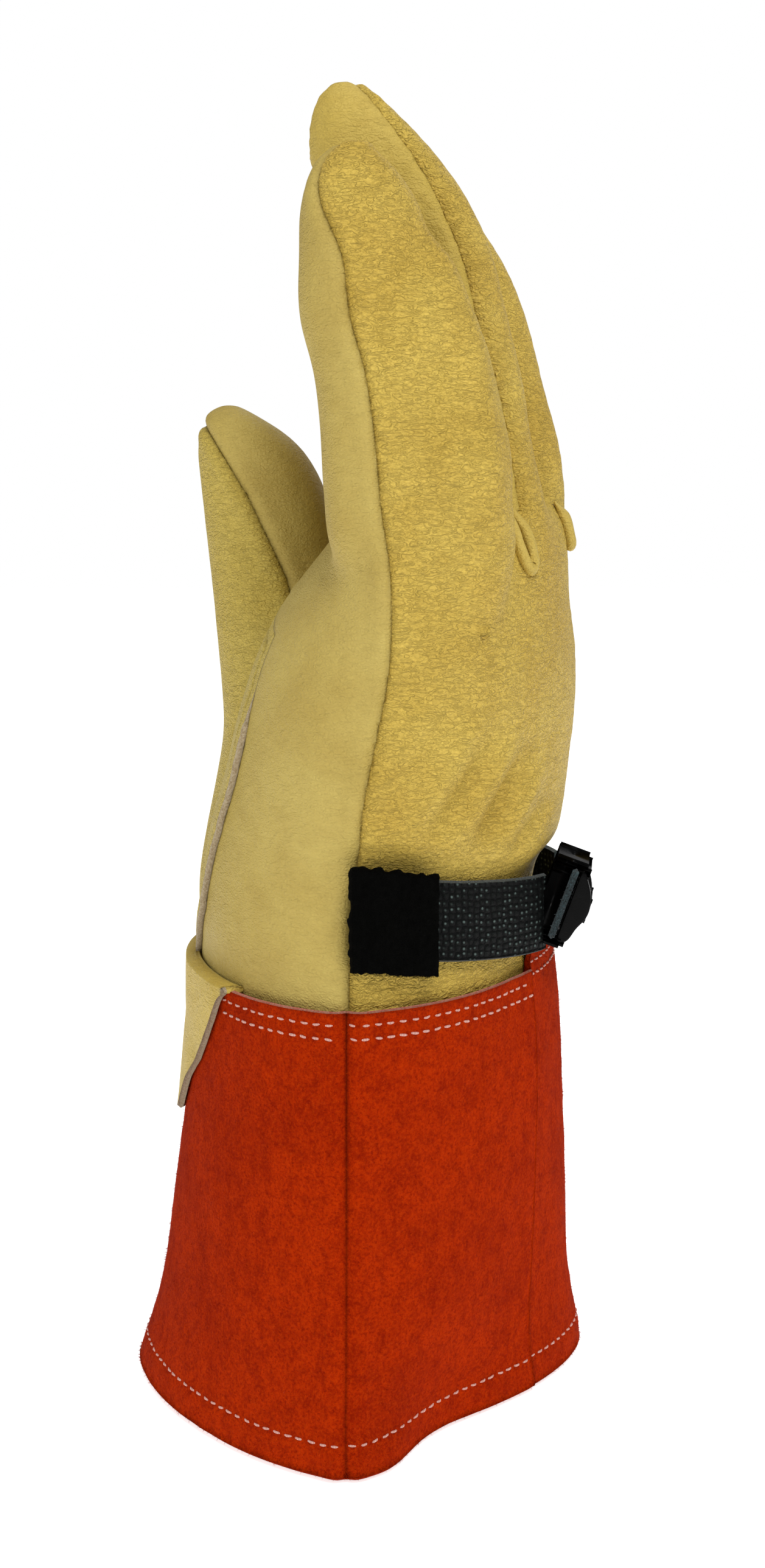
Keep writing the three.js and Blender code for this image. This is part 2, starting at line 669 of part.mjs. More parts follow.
function band(from, to, steps, lift, thickness, height) {
  const rings = Array.from({ length: steps + 1 }, (_, step) => {
    const turn = from + (to - from) * step / steps;
    const stand = STRAP_STAND * smooth(STRAP_LEAVES, 0, turn) * (1 - smooth(0, -STRAP_LEAVES, turn));
    const frame = wristFrame(turn, lift + stand);
    const corner = (far, up) => frame.at.clone().addScaledVector(frame.out, far)
      .add(new THREE.Vector3(0, 0, up));
    const half = height / 2;
    return [corner(0, -half), corner(thickness, -half), corner(thickness, half), corner(0, half)];
  });
  return solid(rings);
}

const strapPatch = band(PATCH_FROM, PATCH_TO, 8, STRAP_LIFT + WEBBING + GAP, FELT, FELT_HEIGHT);
const strapAnchor = band(ANCHOR_FROM, ANCHOR_TO, 14, ANCHOR_LIFT, WEBBING, STRAP_WIDTH);

// The slide: a frame with two slots, and the folded end of the webbing over it
const cuffEdge = cuffPoint(cuffTop, SLIDE.turn, 0);
const slideStand = Math.max(SLIDE.stand, cuffEdge.x + SLIDE.clear - wristFrame(SLIDE.turn, 0).at.x);
const slideFrame = wristFrame(SLIDE.turn, slideStand);
slideFrame.along.applyAxisAngle(new THREE.Vector3(0, 0, 1), -SLIDE.tilt);
slideFrame.out.applyAxisAngle(new THREE.Vector3(0, 0, 1), -SLIDE.tilt);
function plate(alongFrom, alongTo, outFrom, outTo, halfHeight) {
  const corner = (run, far, up) => slideFrame.at.clone().addScaledVector(slideFrame.along, run)
    .addScaledVector(slideFrame.out, far).add(new THREE.Vector3(0, 0, up));
  return solid([-halfHeight, halfHeight].map((up) => [
    corner(alongFrom, outFrom, up),
    corner(alongTo, outFrom, up),
    corner(alongTo, outTo, up),
    corner(alongFrom, outTo, up),
  ]));
}

const slideHalf = SLIDE.length / 2;
const slotHalf = SLIDE.height / 2 - SLIDE.rim;
const slotReach = slideHalf - SLIDE.rim;
const strap = band(STRAP_FROM, STRAP_TO, 13, STRAP_LIFT, WEBBING, STRAP_WIDTH)
  .subtract(plate(-slideHalf - GAP, FAR, -FAR, FAR, FAR));
const buckle = plate(-slideHalf, slideHalf, 0, SLIDE.thickness, SLIDE.height / 2)
  .subtract(plate(-slotReach, -slotReach + SLIDE.slot, -1, SLIDE.thickness + 1, slotHalf))
  .subtract(plate(slotReach - SLIDE.slot, slotReach, -1, SLIDE.thickness + 1, slotHalf));
const endFrom = SLIDE.thickness + GAP;
const strapEnd = plate(-slideHalf - 1, SLIDE.fold, endFrom, endFrom + WEBBING, STRAP_WIDTH / 2);

// Knuckle darts
function dart(row) {
  const foot = row.foot * GLOVE_HEIGHT;
  const head = row.head * GLOVE_HEIGHT;
  const steps = 10;
  const surface = (y, z) => {
    let best = -FAR;
    for (let turn = -Math.PI / 2; turn <= Math.PI / 2; turn += 0.01) {
      const point = handPoint(Math.min(z, 0.675 * GLOVE_HEIGHT), turn, 0);
      if (Math.abs(point.y - y) < 0.8) best = Math.max(best, point.x);
    }
    return best;
  };
  const path = Array.from({ length: steps + 1 }, (_, step) => {
    const round = Math.PI * (step / steps) * 2 - Math.PI;
    const y = row.across + DART_HALF_WIDTH * Math.sin(round) * -1;
    const z = (foot + head) / 2 + (head - foot) / 2 * Math.cos(round);
    return new THREE.Vector3(surface(y, z) + DART_STAND, y, z);
  });
  path.pop();
  const rings = path.map((point, index) => {
    const next = path[(index + 1) % path.length];
    const last = path[(index + path.length - 1) % path.length];
    const ahead = next.clone().sub(last).normalize();
    const out = new THREE.Vector3(1, 0, 0).addScaledVector(ahead, -ahead.x).normalize();
    const aside = new THREE.Vector3().crossVectors(ahead, out);
    return Array.from({ length: 5 }, (_, corner) => {
      const turn = corner / 5 * 2 * Math.PI;
      return point.clone()
        .addScaledVector(out, DART_ROLL * Math.cos(turn))
        .addScaledVector(aside, DART_ROLL * Math.sin(turn));
    });
  });
  return loop(rings).subtract(clearHand);
}

function loop(rings) {
  const count = rings[0].length;
  const points = rings.flat();
  const faces = [];
  for (let level = 0; level < rings.length; level += 1) {
    for (let step = 0; step < count; step += 1) {
      const next = (step + 1) % count;
      const a = level * count + step;
      const b = level * count + next;
      const c = ((level + 1) % rings.length) * count + next;
      const d = ((level + 1) % rings.length) * count + step;
      faces.push([a, b, c], [a, c, d]);
    }
  }
  return manifold(points, faces);
}

// Naming, colouring and centring the pieces
const group = new THREE.Group();
group.name = 'protector_glove';

const pieces = [];
function piece(name, made, colour, roughness, metalness = 0) {
  pieces.push({ name, made, colour, roughness, metalness });
}

piece('palm', palm, COLOURS.palmLeather, 0.62);
piece('back', back, COLOURS.backLeather, 0.6);
['fourchette_little_ring', 'fourchette_ring_middle', 'fourchette_middle_index'].forEach((name, index) => {
  piece(name, shell.intersect(forks[index]), COLOURS.palmLeather, 0.62);
});
piece('thumb_front', thumbFront, COLOURS.palmLeather, 0.62);
piece('thumb_back', thumbBack, COLOURS.thumbLeather, 0.62);
piece('vein_patch', veinPatch, COLOURS.backLeather, 0.62);
piece('cuff_palm', cuffPalm, COLOURS.suede, 0.95);
piece('cuff_back_ulnar', cuffBackUlnar, COLOURS.suede, 0.95);
piece('cuff_back_radial', cuffBackRadial, COLOURS.suede, 0.95);
piece('strap', strap, COLOURS.webbing, 0.8);
piece('strap_patch', strapPatch, COLOURS.felt, 1);
piece('strap_anchor', strapAnchor, COLOURS.webbing, 0.8);
piece('buckle', buckle, COLOURS.plastic, 0.3);
piece('strap_end', strapEnd, COLOURS.webbing, 0.8);
DARTS.forEach((row) => piece(row.name, dart(row), COLOURS.backLeather, 0.6));

const bounds = new THREE.Box3();
for (const { made } of pieces) {
  const box = made.boundingBox();
  bounds.expandByPoint(new THREE.Vector3(...box.min));
  bounds.expandByPoint(new THREE.Vector3(...box.max));
}
const middle = bounds.getCenter(new THREE.Vector3());

for (const { name, made, colour, roughness, metalness } of pieces) {
  const found = made.getMesh();
  const positions = [];
  for (let index = 0; index < found.numVert; index += 1) {
    positions.push(...found.vertProperties.slice(index * found.numProp, index * found.numProp + 3));
  }
  let geometry = new THREE.BufferGeometry();
  geometry.setAttribute('position', new THREE.Float32BufferAttribute(positions, 3));
  geometry.setIndex(Array.from(found.triVerts));
  geometry.translate(-middle.x, -middle.y, -bounds.min.z);
  geometry = mergeVertices(geometry, 1e-3);
  geometry.computeVertexNormals();
  const material = new THREE.MeshStandardMaterial({ color: colour, roughness, metalness });
  const mesh = new THREE.Mesh(geometry, material);
  mesh.name = name;
  group.add(mesh);
}

export default group;
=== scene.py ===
import math

import bmesh
import bpy
import numpy as np
from bpy.props import FloatProperty, FloatVectorProperty, IntProperty, PointerProperty
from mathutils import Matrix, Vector, kdtree, noise
from mathutils.bvhtree import BVHTree


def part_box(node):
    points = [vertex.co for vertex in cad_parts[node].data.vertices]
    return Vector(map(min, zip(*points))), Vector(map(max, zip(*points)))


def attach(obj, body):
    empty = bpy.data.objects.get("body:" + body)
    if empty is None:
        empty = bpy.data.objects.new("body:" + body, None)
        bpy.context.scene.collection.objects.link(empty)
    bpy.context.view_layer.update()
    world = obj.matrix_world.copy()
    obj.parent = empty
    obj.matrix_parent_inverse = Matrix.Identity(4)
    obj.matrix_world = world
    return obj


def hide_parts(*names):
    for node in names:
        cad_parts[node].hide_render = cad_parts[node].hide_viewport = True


bl_info = {
    "name": "Leather protector glove",
    "version": (1, 0, 0),
    "blender": (4, 5, 0),
    "location": "View3D > Sidebar > Glove",
    "description": "Builds a leather protector glove with a suede cuff round its packed frame",
    "category": "Add Mesh",
}

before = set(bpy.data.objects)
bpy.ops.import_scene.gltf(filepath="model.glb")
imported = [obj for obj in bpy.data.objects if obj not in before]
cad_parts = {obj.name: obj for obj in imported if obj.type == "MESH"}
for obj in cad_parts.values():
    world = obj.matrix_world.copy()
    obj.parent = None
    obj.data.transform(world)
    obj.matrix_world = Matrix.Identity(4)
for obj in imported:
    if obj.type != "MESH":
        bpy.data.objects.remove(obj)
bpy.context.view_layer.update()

# Main sizes in millimetres, as in the solids
GLOVE_HEIGHT = 309
HALF_BREADTH = 55
CUFF_HEIGHT = 105
HALF_HEM = 66
STRAP_WIDTH = 17.6
STRAP_DROP = 0.9
FELT_DROP = 1.7
SUEDE = 2.2
GAP = 0.3
HEM_PALM = -55.0
HEM_ULNAR = -66.1

# Sections of the hand: height, then shares of half the hand's breadth
HAND_COLUMNS = ("up", "seam", "lean", "palm", "back", "ulnar", "radial", "nose")
HAND_ROWS = (
    (0.362, -0.015, 0.073, -0.68, 0.84, -0.996, 0.993, 1.16),
    (0.401, -0.002, 0.091, -0.667, 0.84, -0.985, 0.989, 1.1),
    (0.447, 0.018, 0.109, -0.622, 0.902, -0.993, 1, 1.06),
    (0.489, 0.045, 0.127, -0.545, 0.931, -1.004, 1.011, 1.03),
    (0.534, 0.093, 0.145, -0.487, 0.956, -1.011, 1.018, 1),
    (0.578, 0.138, 0.145, -0.409, 0.956, -1.011, 1.018, 1),
    (0.621, 0.151, 0.145, -0.284, 0.927, -1.007, 1.015, 1.22),
    (0.663, 0.135, 0.145, -0.1, 0.916, -0.996, 1, 1.65),
    (0.686, 0.125, 0.145, 0.009, 0.873, -0.956, 0.96, 1.95),
    (0.699, 0.116, 0.145, 0.136, 0.764, -0.882, 0.882, 1.95),
)
FINGER_COLUMNS = ("up", "palm", "back", "half")
FINGERS = (
    ("little", -0.745, (
        (0.608, 0.055, 0.582, 0.173),
        (0.663, -0.1, 0.718, 0.24),
        (0.706, -0.116, 0.665, 0.238),
        (0.741, -0.124, 0.622, 0.236),
        (0.782, -0.151, 0.564, 0.236),
        (0.822, -0.204, 0.487, 0.235),
        (0.864, -0.2, 0.393, 0.227),
        (0.9, -0.189, 0.258, 0.204),
        (0.924, -0.135, 0.156, 0.149),
        (0.939, -0.047, 0.062, 0.058),
    )),
    ("ring", -0.255, (
        (0.608, 0.109, 0.727, 0.182),
        (0.663, 0, 0.827, 0.236),
        (0.706, 0, 0.785, 0.236),
        (0.738, 0.009, 0.742, 0.236),
        (0.788, -0.009, 0.693, 0.236),
        (0.827, -0.036, 0.64, 0.235),
        (0.871, -0.091, 0.571, 0.233),
        (0.909, -0.145, 0.469, 0.225),
        (0.942, -0.171, 0.338, 0.204),
        (0.968, -0.164, 0.2, 0.16),
        (0.984, -0.127, 0.095, 0.102),
        (0.992, -0.08, 0.029, 0.044),
    )),
    ("middle", 0.236, (
        (0.608, 0.182, 0.827, 0.182),
        (0.663, 0.091, 0.924, 0.236),
        (0.722, 0.1, 0.907, 0.236),
        (0.78, 0.096, 0.827, 0.236),
        (0.811, 0.082, 0.782, 0.236),
        (0.838, 0.055, 0.733, 0.235),
        (0.874, -0.009, 0.64, 0.231),
        (0.919, -0.091, 0.473, 0.222),
        (0.953, -0.145, 0.327, 0.196),
        (0.977, -0.153, 0.2, 0.153),
        (0.992, -0.124, 0.098, 0.098),
        (1, -0.073, 0.033, 0.044),
    )),
    ("index", 0.727, (
        (0.608, 0.255, 0.809, 0.173),
        (0.663, 0.164, 0.891, 0.235),
        (0.706, 0.155, 0.865, 0.236),
        (0.793, 0.118, 0.745, 0.235),
        (0.835, 0.064, 0.655, 0.231),
        (0.867, 0, 0.564, 0.224),
        (0.909, -0.082, 0.391, 0.198),
        (0.935, -0.109, 0.255, 0.153),
        (0.951, -0.084, 0.153, 0.102),
        (0.961, -0.025, 0.065, 0.047),
    )),
)
THUMB_COLUMNS = ("up", "outer", "inner", "across", "half")
THUMB_ROWS = (
    (0.33, -0.545, 0.073, 0.291, 0.4),
    (0.356, -0.702, 0.109, 0.327, 0.473),
    (0.388, -0.724, 0.145, 0.364, 0.5),
    (0.424, -0.698, 0.182, 0.4, 0.509),
    (0.469, -0.647, 0.182, 0.436, 0.491),
    (0.505, -0.618, 0.164, 0.491, 0.455),
    (0.547, -0.633, 0.127, 0.545, 0.409),
    (0.583, -0.653, 0.082, 0.582, 0.373),
    (0.621, -0.676, 0.009, 0.618, 0.336),
    (0.696, -0.722, -0.135, 0.645, 0.284),
    (0.725, -0.738, -0.218, 0.655, 0.255),
    (0.744, -0.731, -0.318, 0.655, 0.215),
    (0.759, -0.698, -0.445, 0.655, 0.153),
    (0.769, -0.636, -0.545, 0.655, 0.062),
)
# Sections of the cuff: share of the cuff's height, then shares of half the hem's breadth
CUFF_COLUMNS = ("up", "palm", "back", "ulnar", "radial", "palm_nose", "palm_crest", "back_nose", "back_crest")
CUFF_ROWS = (
    (0, -0.833, 0.867, -1, 0.985, 1.42, 1.16, 1.7, 1.26),
    (0.076, -0.8, 0.856, -0.989, 0.973, 1.4, 1.15, 1.68, 1.25),
    (0.238, -0.73, 0.815, -0.967, 0.948, 1.36, 1.12, 1.6, 1.2),
    (0.571, -0.659, 0.791, -0.924, 0.915, 1.3, 1.1, 1.45, 1.14),
    (0.838, -0.609, 0.767, -0.892, 0.889, 1.24, 1.07, 1.32, 1.08),
    (1, -0.603, 0.741, -0.873, 0.871, 1.18, 1.04, 1.22, 1.05),
    (1.048, -0.602, 0.736, -0.868, 0.867, 1.18, 1.04, 1.2, 1.04),
)
# Soft dents: place and size in shares of half the hand's breadth, and of the glove's height (up)
DENT_COLUMNS = ("x", "y", "up", "radius", "depth", "toward_x", "toward_y")
DENTS = (
    (0.2, -1.14, 0, 0.16, 0.05, 0.3, -0.95),
    (0.42, -0.84, 0, 0.34, 0.1, -0.7, 0.7),
    (0.75, -0.5, 0.03, 0.4, 0.04, -0.7, 0.7),
    (0.42, -0.98, 0.862, 0.2, 0.055, -0.4, 0.9),
    (0.56, -0.9, 0.765, 0.2, 0.05, -0.5, 0.85),
    (-0.3, -0.8, 0.44, 0.35, 0.035, 0.5, 0.85),
    (0.6, -0.7, 0.46, 0.22, 0.04, -0.7, 0.7),
    (0.7, -0.8, 0.672, 0.24, 0.085, -0.85, 0.5),
    (-0.1, -0.8, 0.573, 0.4, 0.05, 0.5, 0.85),
)
# Creases on the little finger's side: two ends (x, up), width and height in the same shares.
# A height below zero is a valley.
CREASE_COLUMNS = ("x0", "up0", "x1", "up1", "width", "height")
CREASES = (
    (0.03, 0.478, 0.33, 0.56, 0.07, 0.03),
    (0.22, 0.463, 0.52, 0.55, 0.06, 0.035),
    (0.3, 0.455, 0.58, 0.53, 0.045, -0.03),
    (0.4, 0.452, 0.66, 0.53, 0.05, 0.035),
    (0.5, 0.446, 0.74, 0.52, 0.045, -0.035),
    (0.58, 0.442, 0.79, 0.5, 0.04, 0.03),
    (0.66, 0.436, 0.84, 0.475, 0.035, -0.032),
    (-0.05, 0.44, -0.2, 0.6, 0.16, 0.016),
    (0.12, 0.79, 0.36, 0.905, 0.09, -0.041),
    (0.3, 0.72, 0.44, 0.82, 0.06, -0.024),
    (0.56, 0.68, 0.46, 0.82, 0.05, 0.027),
)

# Share of each finger's thickness where its seams run: low down, at the tip, and the heights between
PALM_SEAMS = ((0.28, 0.06, 262, 289), (0.28, 0.0, 255, 290), (0.28, 0.2, 260, 300), (0.28, 0.28, 260, 300))
BACK_SEAMS = ((0.77, 0.72, 262, 289), (0.85, 0.79, 232, 256), (0.8, 0.77, 232, 256), (0.77, 0.77, 232, 256))
FORK_LOW = 0.667
CUFF_SEAM_X = -1.4
CUFF_OVERLAP_Y = -20
CUFF_BACK_STEP = 4.6
CUFF_NOSE_INSET = 1.5
CUFF_CREST_SHIFT = 0.12
# The palm's free edge over the ball of the thumb, and the line between thumb and fingers
THUMB_EDGE = ((0.28, -0.1), (0.345, -0.147), (0.389, -0.385), (0.449, -0.5), (0.52, -0.555), (0.598, -0.5),
              (0.625, 0), (0.66, 0.25), (0.9, 0.25))
THUMB_CROTCH = ((0.28, 1.3), (0.596, 1.3), (0.6, 0.3), (0.646, 0.03), (0.69, -0.05), (0.722, -0.11),
                (0.742, -0.17), (0.8, -0.5))
THUMB_SEAM = ((0.607, -0.28), (0.631, -0.31), (0.657, -0.38), (0.696, -0.49), (0.723, -0.59), (0.757, -0.72))
THUMB_FRONT_LOW = 0.57
PATCH_OUTLINE = ((-0.73, 0.342), (-0.67, 0.331), (-0.6, 0.311), (-0.51, 0.29), (-0.425, 0.2721),
                 (-0.28, 0.2504), (-0.14, 0.2203), (0.05, 0.208), (0.25, 0.205), (0.45, 0.225), (0.6, 0.28), (0.7, 0.342))
PATCH_THICKNESS = 1.6
STRAP_HEIGHT = 0.413
STRAP_LIFT = 1.8
STRAP_FALL = 0.2
STRAP_FALL_END = 42
CINCH = 0.075
CINCH_FROM = 9.5
CINCH_TO = 17
STRAP_FROM = -1.5
STRAP_TO = -0.32
STRAP_LEAVES = -0.8
STRAP_STAND = 4.5
ANCHOR_LIFT = 3
ANCHOR_FROM = 0.22
ANCHOR_TO = 1.35
PATCH_FROM = -1.62
PATCH_TO = -1.13
FELT_HEIGHT = 22.2
SLIDE_TURN = 0.12
SLIDE_PLACE = (45.9, -12.1, 122.7)
DARTS = (("dart_little_ring", -27.4, 0.647, 0.713), ("dart_ring_middle", 2.8, 0.661, 0.692),
         ("dart_middle_index", 26.5, 0.66, 0.706))

# How far the origin of the sizes above lies from the frame's
HEM_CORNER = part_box("cuff_palm")[0] * 1000
SHIFT = np.array((HEM_CORNER.x - HEM_PALM, HEM_CORNER.y - HEM_ULNAR, 0.0))


def smooth(start, end, value):
    share = np.clip((value - start) / (end - start), 0, 1)
    return share * share * (3 - 2 * share)


def power(value, exponent):
    return np.sign(value) * np.abs(value) ** exponent


def table(columns, rows):
    return dict(zip(columns, np.array(rows, dtype=float).T))


def look_up(rows, key, up):
    ups, values = rows["up"], rows[key]
    last = len(ups) - 1
    at = np.clip(np.searchsorted(ups, up) - 1, 0, last - 1)
    span = ups[at + 1] - ups[at]
    share = np.clip((up - ups[at]) / span, 0, 1)
    before_at, after_at = np.maximum(at - 1, 0), np.minimum(at + 2, last)
    before = (values[at + 1] - values[before_at]) / (ups[at + 1] - ups[before_at]) * span
    after = (values[after_at] - values[at]) / (ups[after_at] - ups[at]) * span
    square, cube = share ** 2, share ** 3
    return ((2 * cube - 3 * square + 1) * values[at] + (cube - 2 * square + share) * before
            + (3 * square - 2 * cube) * values[at + 1] + (cube - square) * after)


HAND = table(HAND_COLUMNS, HAND_ROWS)
THUMB = table(THUMB_COLUMNS, THUMB_ROWS)
CUFF = table(CUFF_COLUMNS, CUFF_ROWS)
FINGER = [(name, across * HALF_BREADTH, table(FINGER_COLUMNS, rows)) for name, across, rows in FINGERS]


# Walls of the solids, worked out for whole arrays of heights and turns
def dented(points):
    dents = table(DENT_COLUMNS, DENTS)
    for x, y, up, radius, depth, toward_x, toward_y in zip(*dents.values()):
        place = np.array((x * HALF_BREADTH, y * HALF_BREADTH, up * GLOVE_HEIGHT))
        apart = np.sum((points - place) ** 2, axis=-1) / (radius * HALF_BREADTH) ** 2
        push = depth * HALF_BREADTH * np.exp(-apart)
        points[..., 0] += toward_x * push
        points[..., 1] += toward_y * push
    return points


def cuff_point(z, turn, inset):
    z, turn = np.broadcast_arrays(np.asarray(z, dtype=float), turn)
    up = z / CUFF_HEIGHT
    c, s = np.cos(turn), np.sin(turn)
    palm_side = c < 0
    palm, back = look_up(CUFF, "palm", up) * HALF_HEM, look_up(CUFF, "back", up) * HALF_HEM
    reach = np.where(palm_side, CUFF_SEAM_X - palm, back - CUFF_SEAM_X) - inset
    wide = np.where(s < 0, -look_up(CUFF, "ulnar", up), look_up(CUFF, "radial", up)) * HALF_HEM
    wide = wide - inset * CUFF_NOSE_INSET
    nose = np.where(palm_side, look_up(CUFF, "palm_nose", up), look_up(CUFF, "back_nose", up))
    crest = np.where(palm_side, look_up(CUFF, "palm_crest", up), look_up(CUFF, "back_crest", up))
    shift = np.where(palm_side, 0, CUFF_CREST_SHIFT * HALF_HEM * c * c)
    points = np.stack((CUFF_SEAM_X + reach * power(c, nose), wide * power(s, crest) + shift, z), axis=-1)
    return dented(points)


def strap_line(x):
    return STRAP_HEIGHT * GLOVE_HEIGHT - STRAP_FALL * np.clip(x, 0, STRAP_FALL_END)


def hand_point(z, turn, inset=0):
    z, turn = np.broadcast_arrays(np.asarray(z, dtype=float), turn)
    up = z / GLOVE_HEIGHT
    c, s = np.cos(turn), np.sin(turn)
    wide = np.where(s < 0, -look_up(HAND, "ulnar", up), look_up(HAND, "radial", up)) * HALF_BREADTH - inset
    lean = look_up(HAND, "lean", up) * HALF_BREADTH
    middle = look_up(HAND, "seam", up) * HALF_BREADTH + lean
    palm, back = look_up(HAND, "palm", up) * HALF_BREADTH, look_up(HAND, "back", up) * HALF_BREADTH
    reach = np.where(c < 0, middle - palm, back - middle) - inset
    x = middle + lean * s + reach * power(c, look_up(HAND, "nose", up))
    near = 1 - smooth(CINCH_FROM, CINCH_TO, np.abs(z - strap_line(x)))
    pull = CINCH * near * smooth(-8, 12, x)
    x = x - (x - middle) * pull
    y = wide * s * (1 - pull)
    return dented(np.stack((x, y, z), axis=-1))


def tube_point(low, high, across, half, z, turn, exponent):
    x = (low + high) / 2 + (high - low) / 2 * power(np.cos(turn), exponent)
    y = across + half * power(np.sin(turn), exponent)
    return dented(np.stack(np.broadcast_arrays(x, y, np.asarray(z, dtype=float)), axis=-1))


# Turning arrays of points into meshes
def grid_faces(rows, columns, closed, start=0):
    faces = []
    across = columns if closed else columns - 1
    for row in range(rows - 1):
        for column in range(across):
            after = (column + 1) % columns
            low, high = start + row * columns, start + (row + 1) * columns
            faces.append((low + column, low + after, high + after, high + column))
    return faces


def capped(rings):
    rows, columns = rings.shape[:2]
    points = np.concatenate((rings.reshape(-1, 3), rings[0].mean(axis=0)[None], rings[-1].mean(axis=0)[None]))
    faces = grid_faces(rows, columns, True)
    foot, head = rows * columns, rows * columns + 1
    top = (rows - 1) * columns
    for column in range(columns):
        after = (column + 1) % columns
        faces.append((foot, after, column))
        faces.append((head, top + column, top + after))
    return points, faces


def joined(parts):
    points, faces, start = [], [], 0
    for some_points, some_faces in parts:
        points.append(some_points)
        faces.extend(tuple(index + start for index in face) for face in some_faces)
        start += len(some_points)
    return np.concatenate(points), faces


def plain_mesh(name, points, faces):
    mesh = bpy.data.meshes.new(name)
    mesh.from_pydata(np.asarray(points).tolist(), [], faces)
    mesh.update()
    return mesh


def evaluated(source, changes):
    """The mesh of a scratch object after its modifiers, given as (type, settings)."""
    made = bpy.data.objects.new("scratch", source)
    bpy.context.scene.collection.objects.link(made)
    for kind, settings in changes:
        modifier = made.modifiers.new(kind, kind)
        for key, value in settings.items():
            setattr(modifier, key, value)
    graph = bpy.context.evaluated_depsgraph_get()
    mesh = bpy.data.meshes.new_from_object(made.evaluated_get(graph), depsgraph=graph)
    bpy.data.objects.remove(made)
    return mesh


def arrays(mesh):
    points = np.empty(len(mesh.vertices) * 3)
    mesh.vertices.foreach_get("co", points)
    return points.reshape(-1, 3), [tuple(face.vertices) for face in mesh.polygons]


def normals_of(mesh):
    found = np.empty(len(mesh.vertices) * 3)
    mesh.vertices.foreach_get("normal", found)
    return found.reshape(-1, 3)


def relaxed(points, edges, weight, times):
    """Evens out a surface, where weight says how much."""
    first, second = edges[:, 0], edges[:, 1]
    count = np.bincount(first, minlength=len(points)) + np.bincount(second, minlength=len(points))
    count = np.maximum(count, 1)[:, None]
    for _ in range(times):
        total = np.zeros_like(points)
        for axis in range(3):
            total[:, axis] = (np.bincount(first, points[second, axis], len(points))
                              + np.bincount(second, points[first, axis], len(points)))
        points = points + (total / count - points) * weight[:, None]
    return points


def edges_of(mesh):
    found = np.empty(len(mesh.edges) * 2, dtype=np.int64)
    mesh.edges.foreach_get("vertices", found)
    return found.reshape(-1, 2)


def waves(points, size, seed):
    """Smooth noise from -1 to 1 at each point; size is its grain in millimetres."""
    offset = Vector((seed * 17.3, seed * 5.1, seed * 29.7))
    return np.array([noise.noise(Vector(point) / size + offset) for point in points])


def finish_piece(name, mesh, materials, nodes=(), shade=True):
    """Moves a mesh in millimetres to the frame's place and hands it over as a piece."""
    points = np.empty(len(mesh.vertices) * 3)
    mesh.vertices.foreach_get("co", points)
    points = (points.reshape(-1, 3) + SHIFT) / 1000
    mesh.vertices.foreach_set("co", points.ravel())
    skins = np.empty(len(mesh.polygons), dtype=np.int32)
    mesh.polygons.foreach_get("material_index", skins)
    mesh.materials.clear()
    for material in materials:
        mesh.materials.append(material)
    mesh.polygons.foreach_set("material_index", skins)
    if shade:
        mesh.polygons.foreach_set("use_smooth", [True] * len(mesh.polygons))
    mesh.update()
    piece = bpy.data.objects.new(name, mesh)
    bpy.context.scene.collection.objects.link(piece)
    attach(piece, "root")
    if nodes:
        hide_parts(*nodes)
    return piece


# The hand: one smooth skin, parted along its seams
PALM_EDGE_FOOT = 107
PALM_EDGE_TOP = 166
VOXEL = 0.9
FINGER_SLIM = 0.94
TOP_FILL = 0.9


def hand_skin():
    turns = np.linspace(0, 2 * math.pi, 144, endpoint=False)
    parts = []
    heights = np.linspace(84, 216, 110)
    low = []
    for z in heights:
        inset = SUEDE + 2 * GAP - TOP_FILL * smooth(97, 103, z)
        low.append(cuff_point(np.full(len(turns), min(z, 110)), turns, inset))
    low = np.array(low)
    low[..., 2] = heights[:, None]
    high = np.array([hand_point(np.full(len(turns), max(z, 112)), turns) for z in heights])
    high[..., 2] = heights[:, None]
    share = smooth(108.5, 116, heights)[:, None, None]
    parts.append(capped(low * (1 - share) + high * share))
    few = turns[::2]
    for _, across, rows in FINGER:
        ups = np.linspace(rows["up"][0], rows["up"][-1], 64)
        rings = []
        for up in ups:
            palm = look_up(rows, "palm", up) * HALF_BREADTH
            back = look_up(rows, "back", up) * HALF_BREADTH
            half = look_up(rows, "half", up) * HALF_BREADTH * FINGER_SLIM
            level = np.full(len(few), up * GLOVE_HEIGHT)
            rings.append(tube_point(palm, back, across, half, level, few, 0.8))
        parts.append(capped(np.array(rings)))
    ups = np.linspace(THUMB["up"][0], THUMB["up"][-1], 64)
    parts.append(capped(np.array([
        tube_point(look_up(THUMB, "outer", up) * HALF_BREADTH, look_up(THUMB, "inner", up) * HALF_BREADTH,
                   look_up(THUMB, "across", up) * HALF_BREADTH, look_up(THUMB, "half", up) * HALF_BREADTH,
                   np.full(len(few), up * GLOVE_HEIGHT), few, 1) for up in ups])))
    mesh = plain_mesh("hand", *joined(parts))
    skin = evaluated(mesh, [("REMESH", {"mode": "VOXEL", "voxel_size": VOXEL, "adaptivity": 0})])
    points, faces = arrays(skin)
    edges = edges_of(skin)
    roots = np.exp(-((points[:, 2] - 204) / 16) ** 2)
    root_of_thumb = smooth(5, -8, points[:, 0]) * np.exp(-((points[:, 2] - 170) / 55) ** 2)
    points = relaxed(points, edges, np.full(len(points), 0.5), 5)
    points = relaxed(points, edges, 0.55 * np.clip(roots + root_of_thumb, 0, 1), 40)
    return points, faces


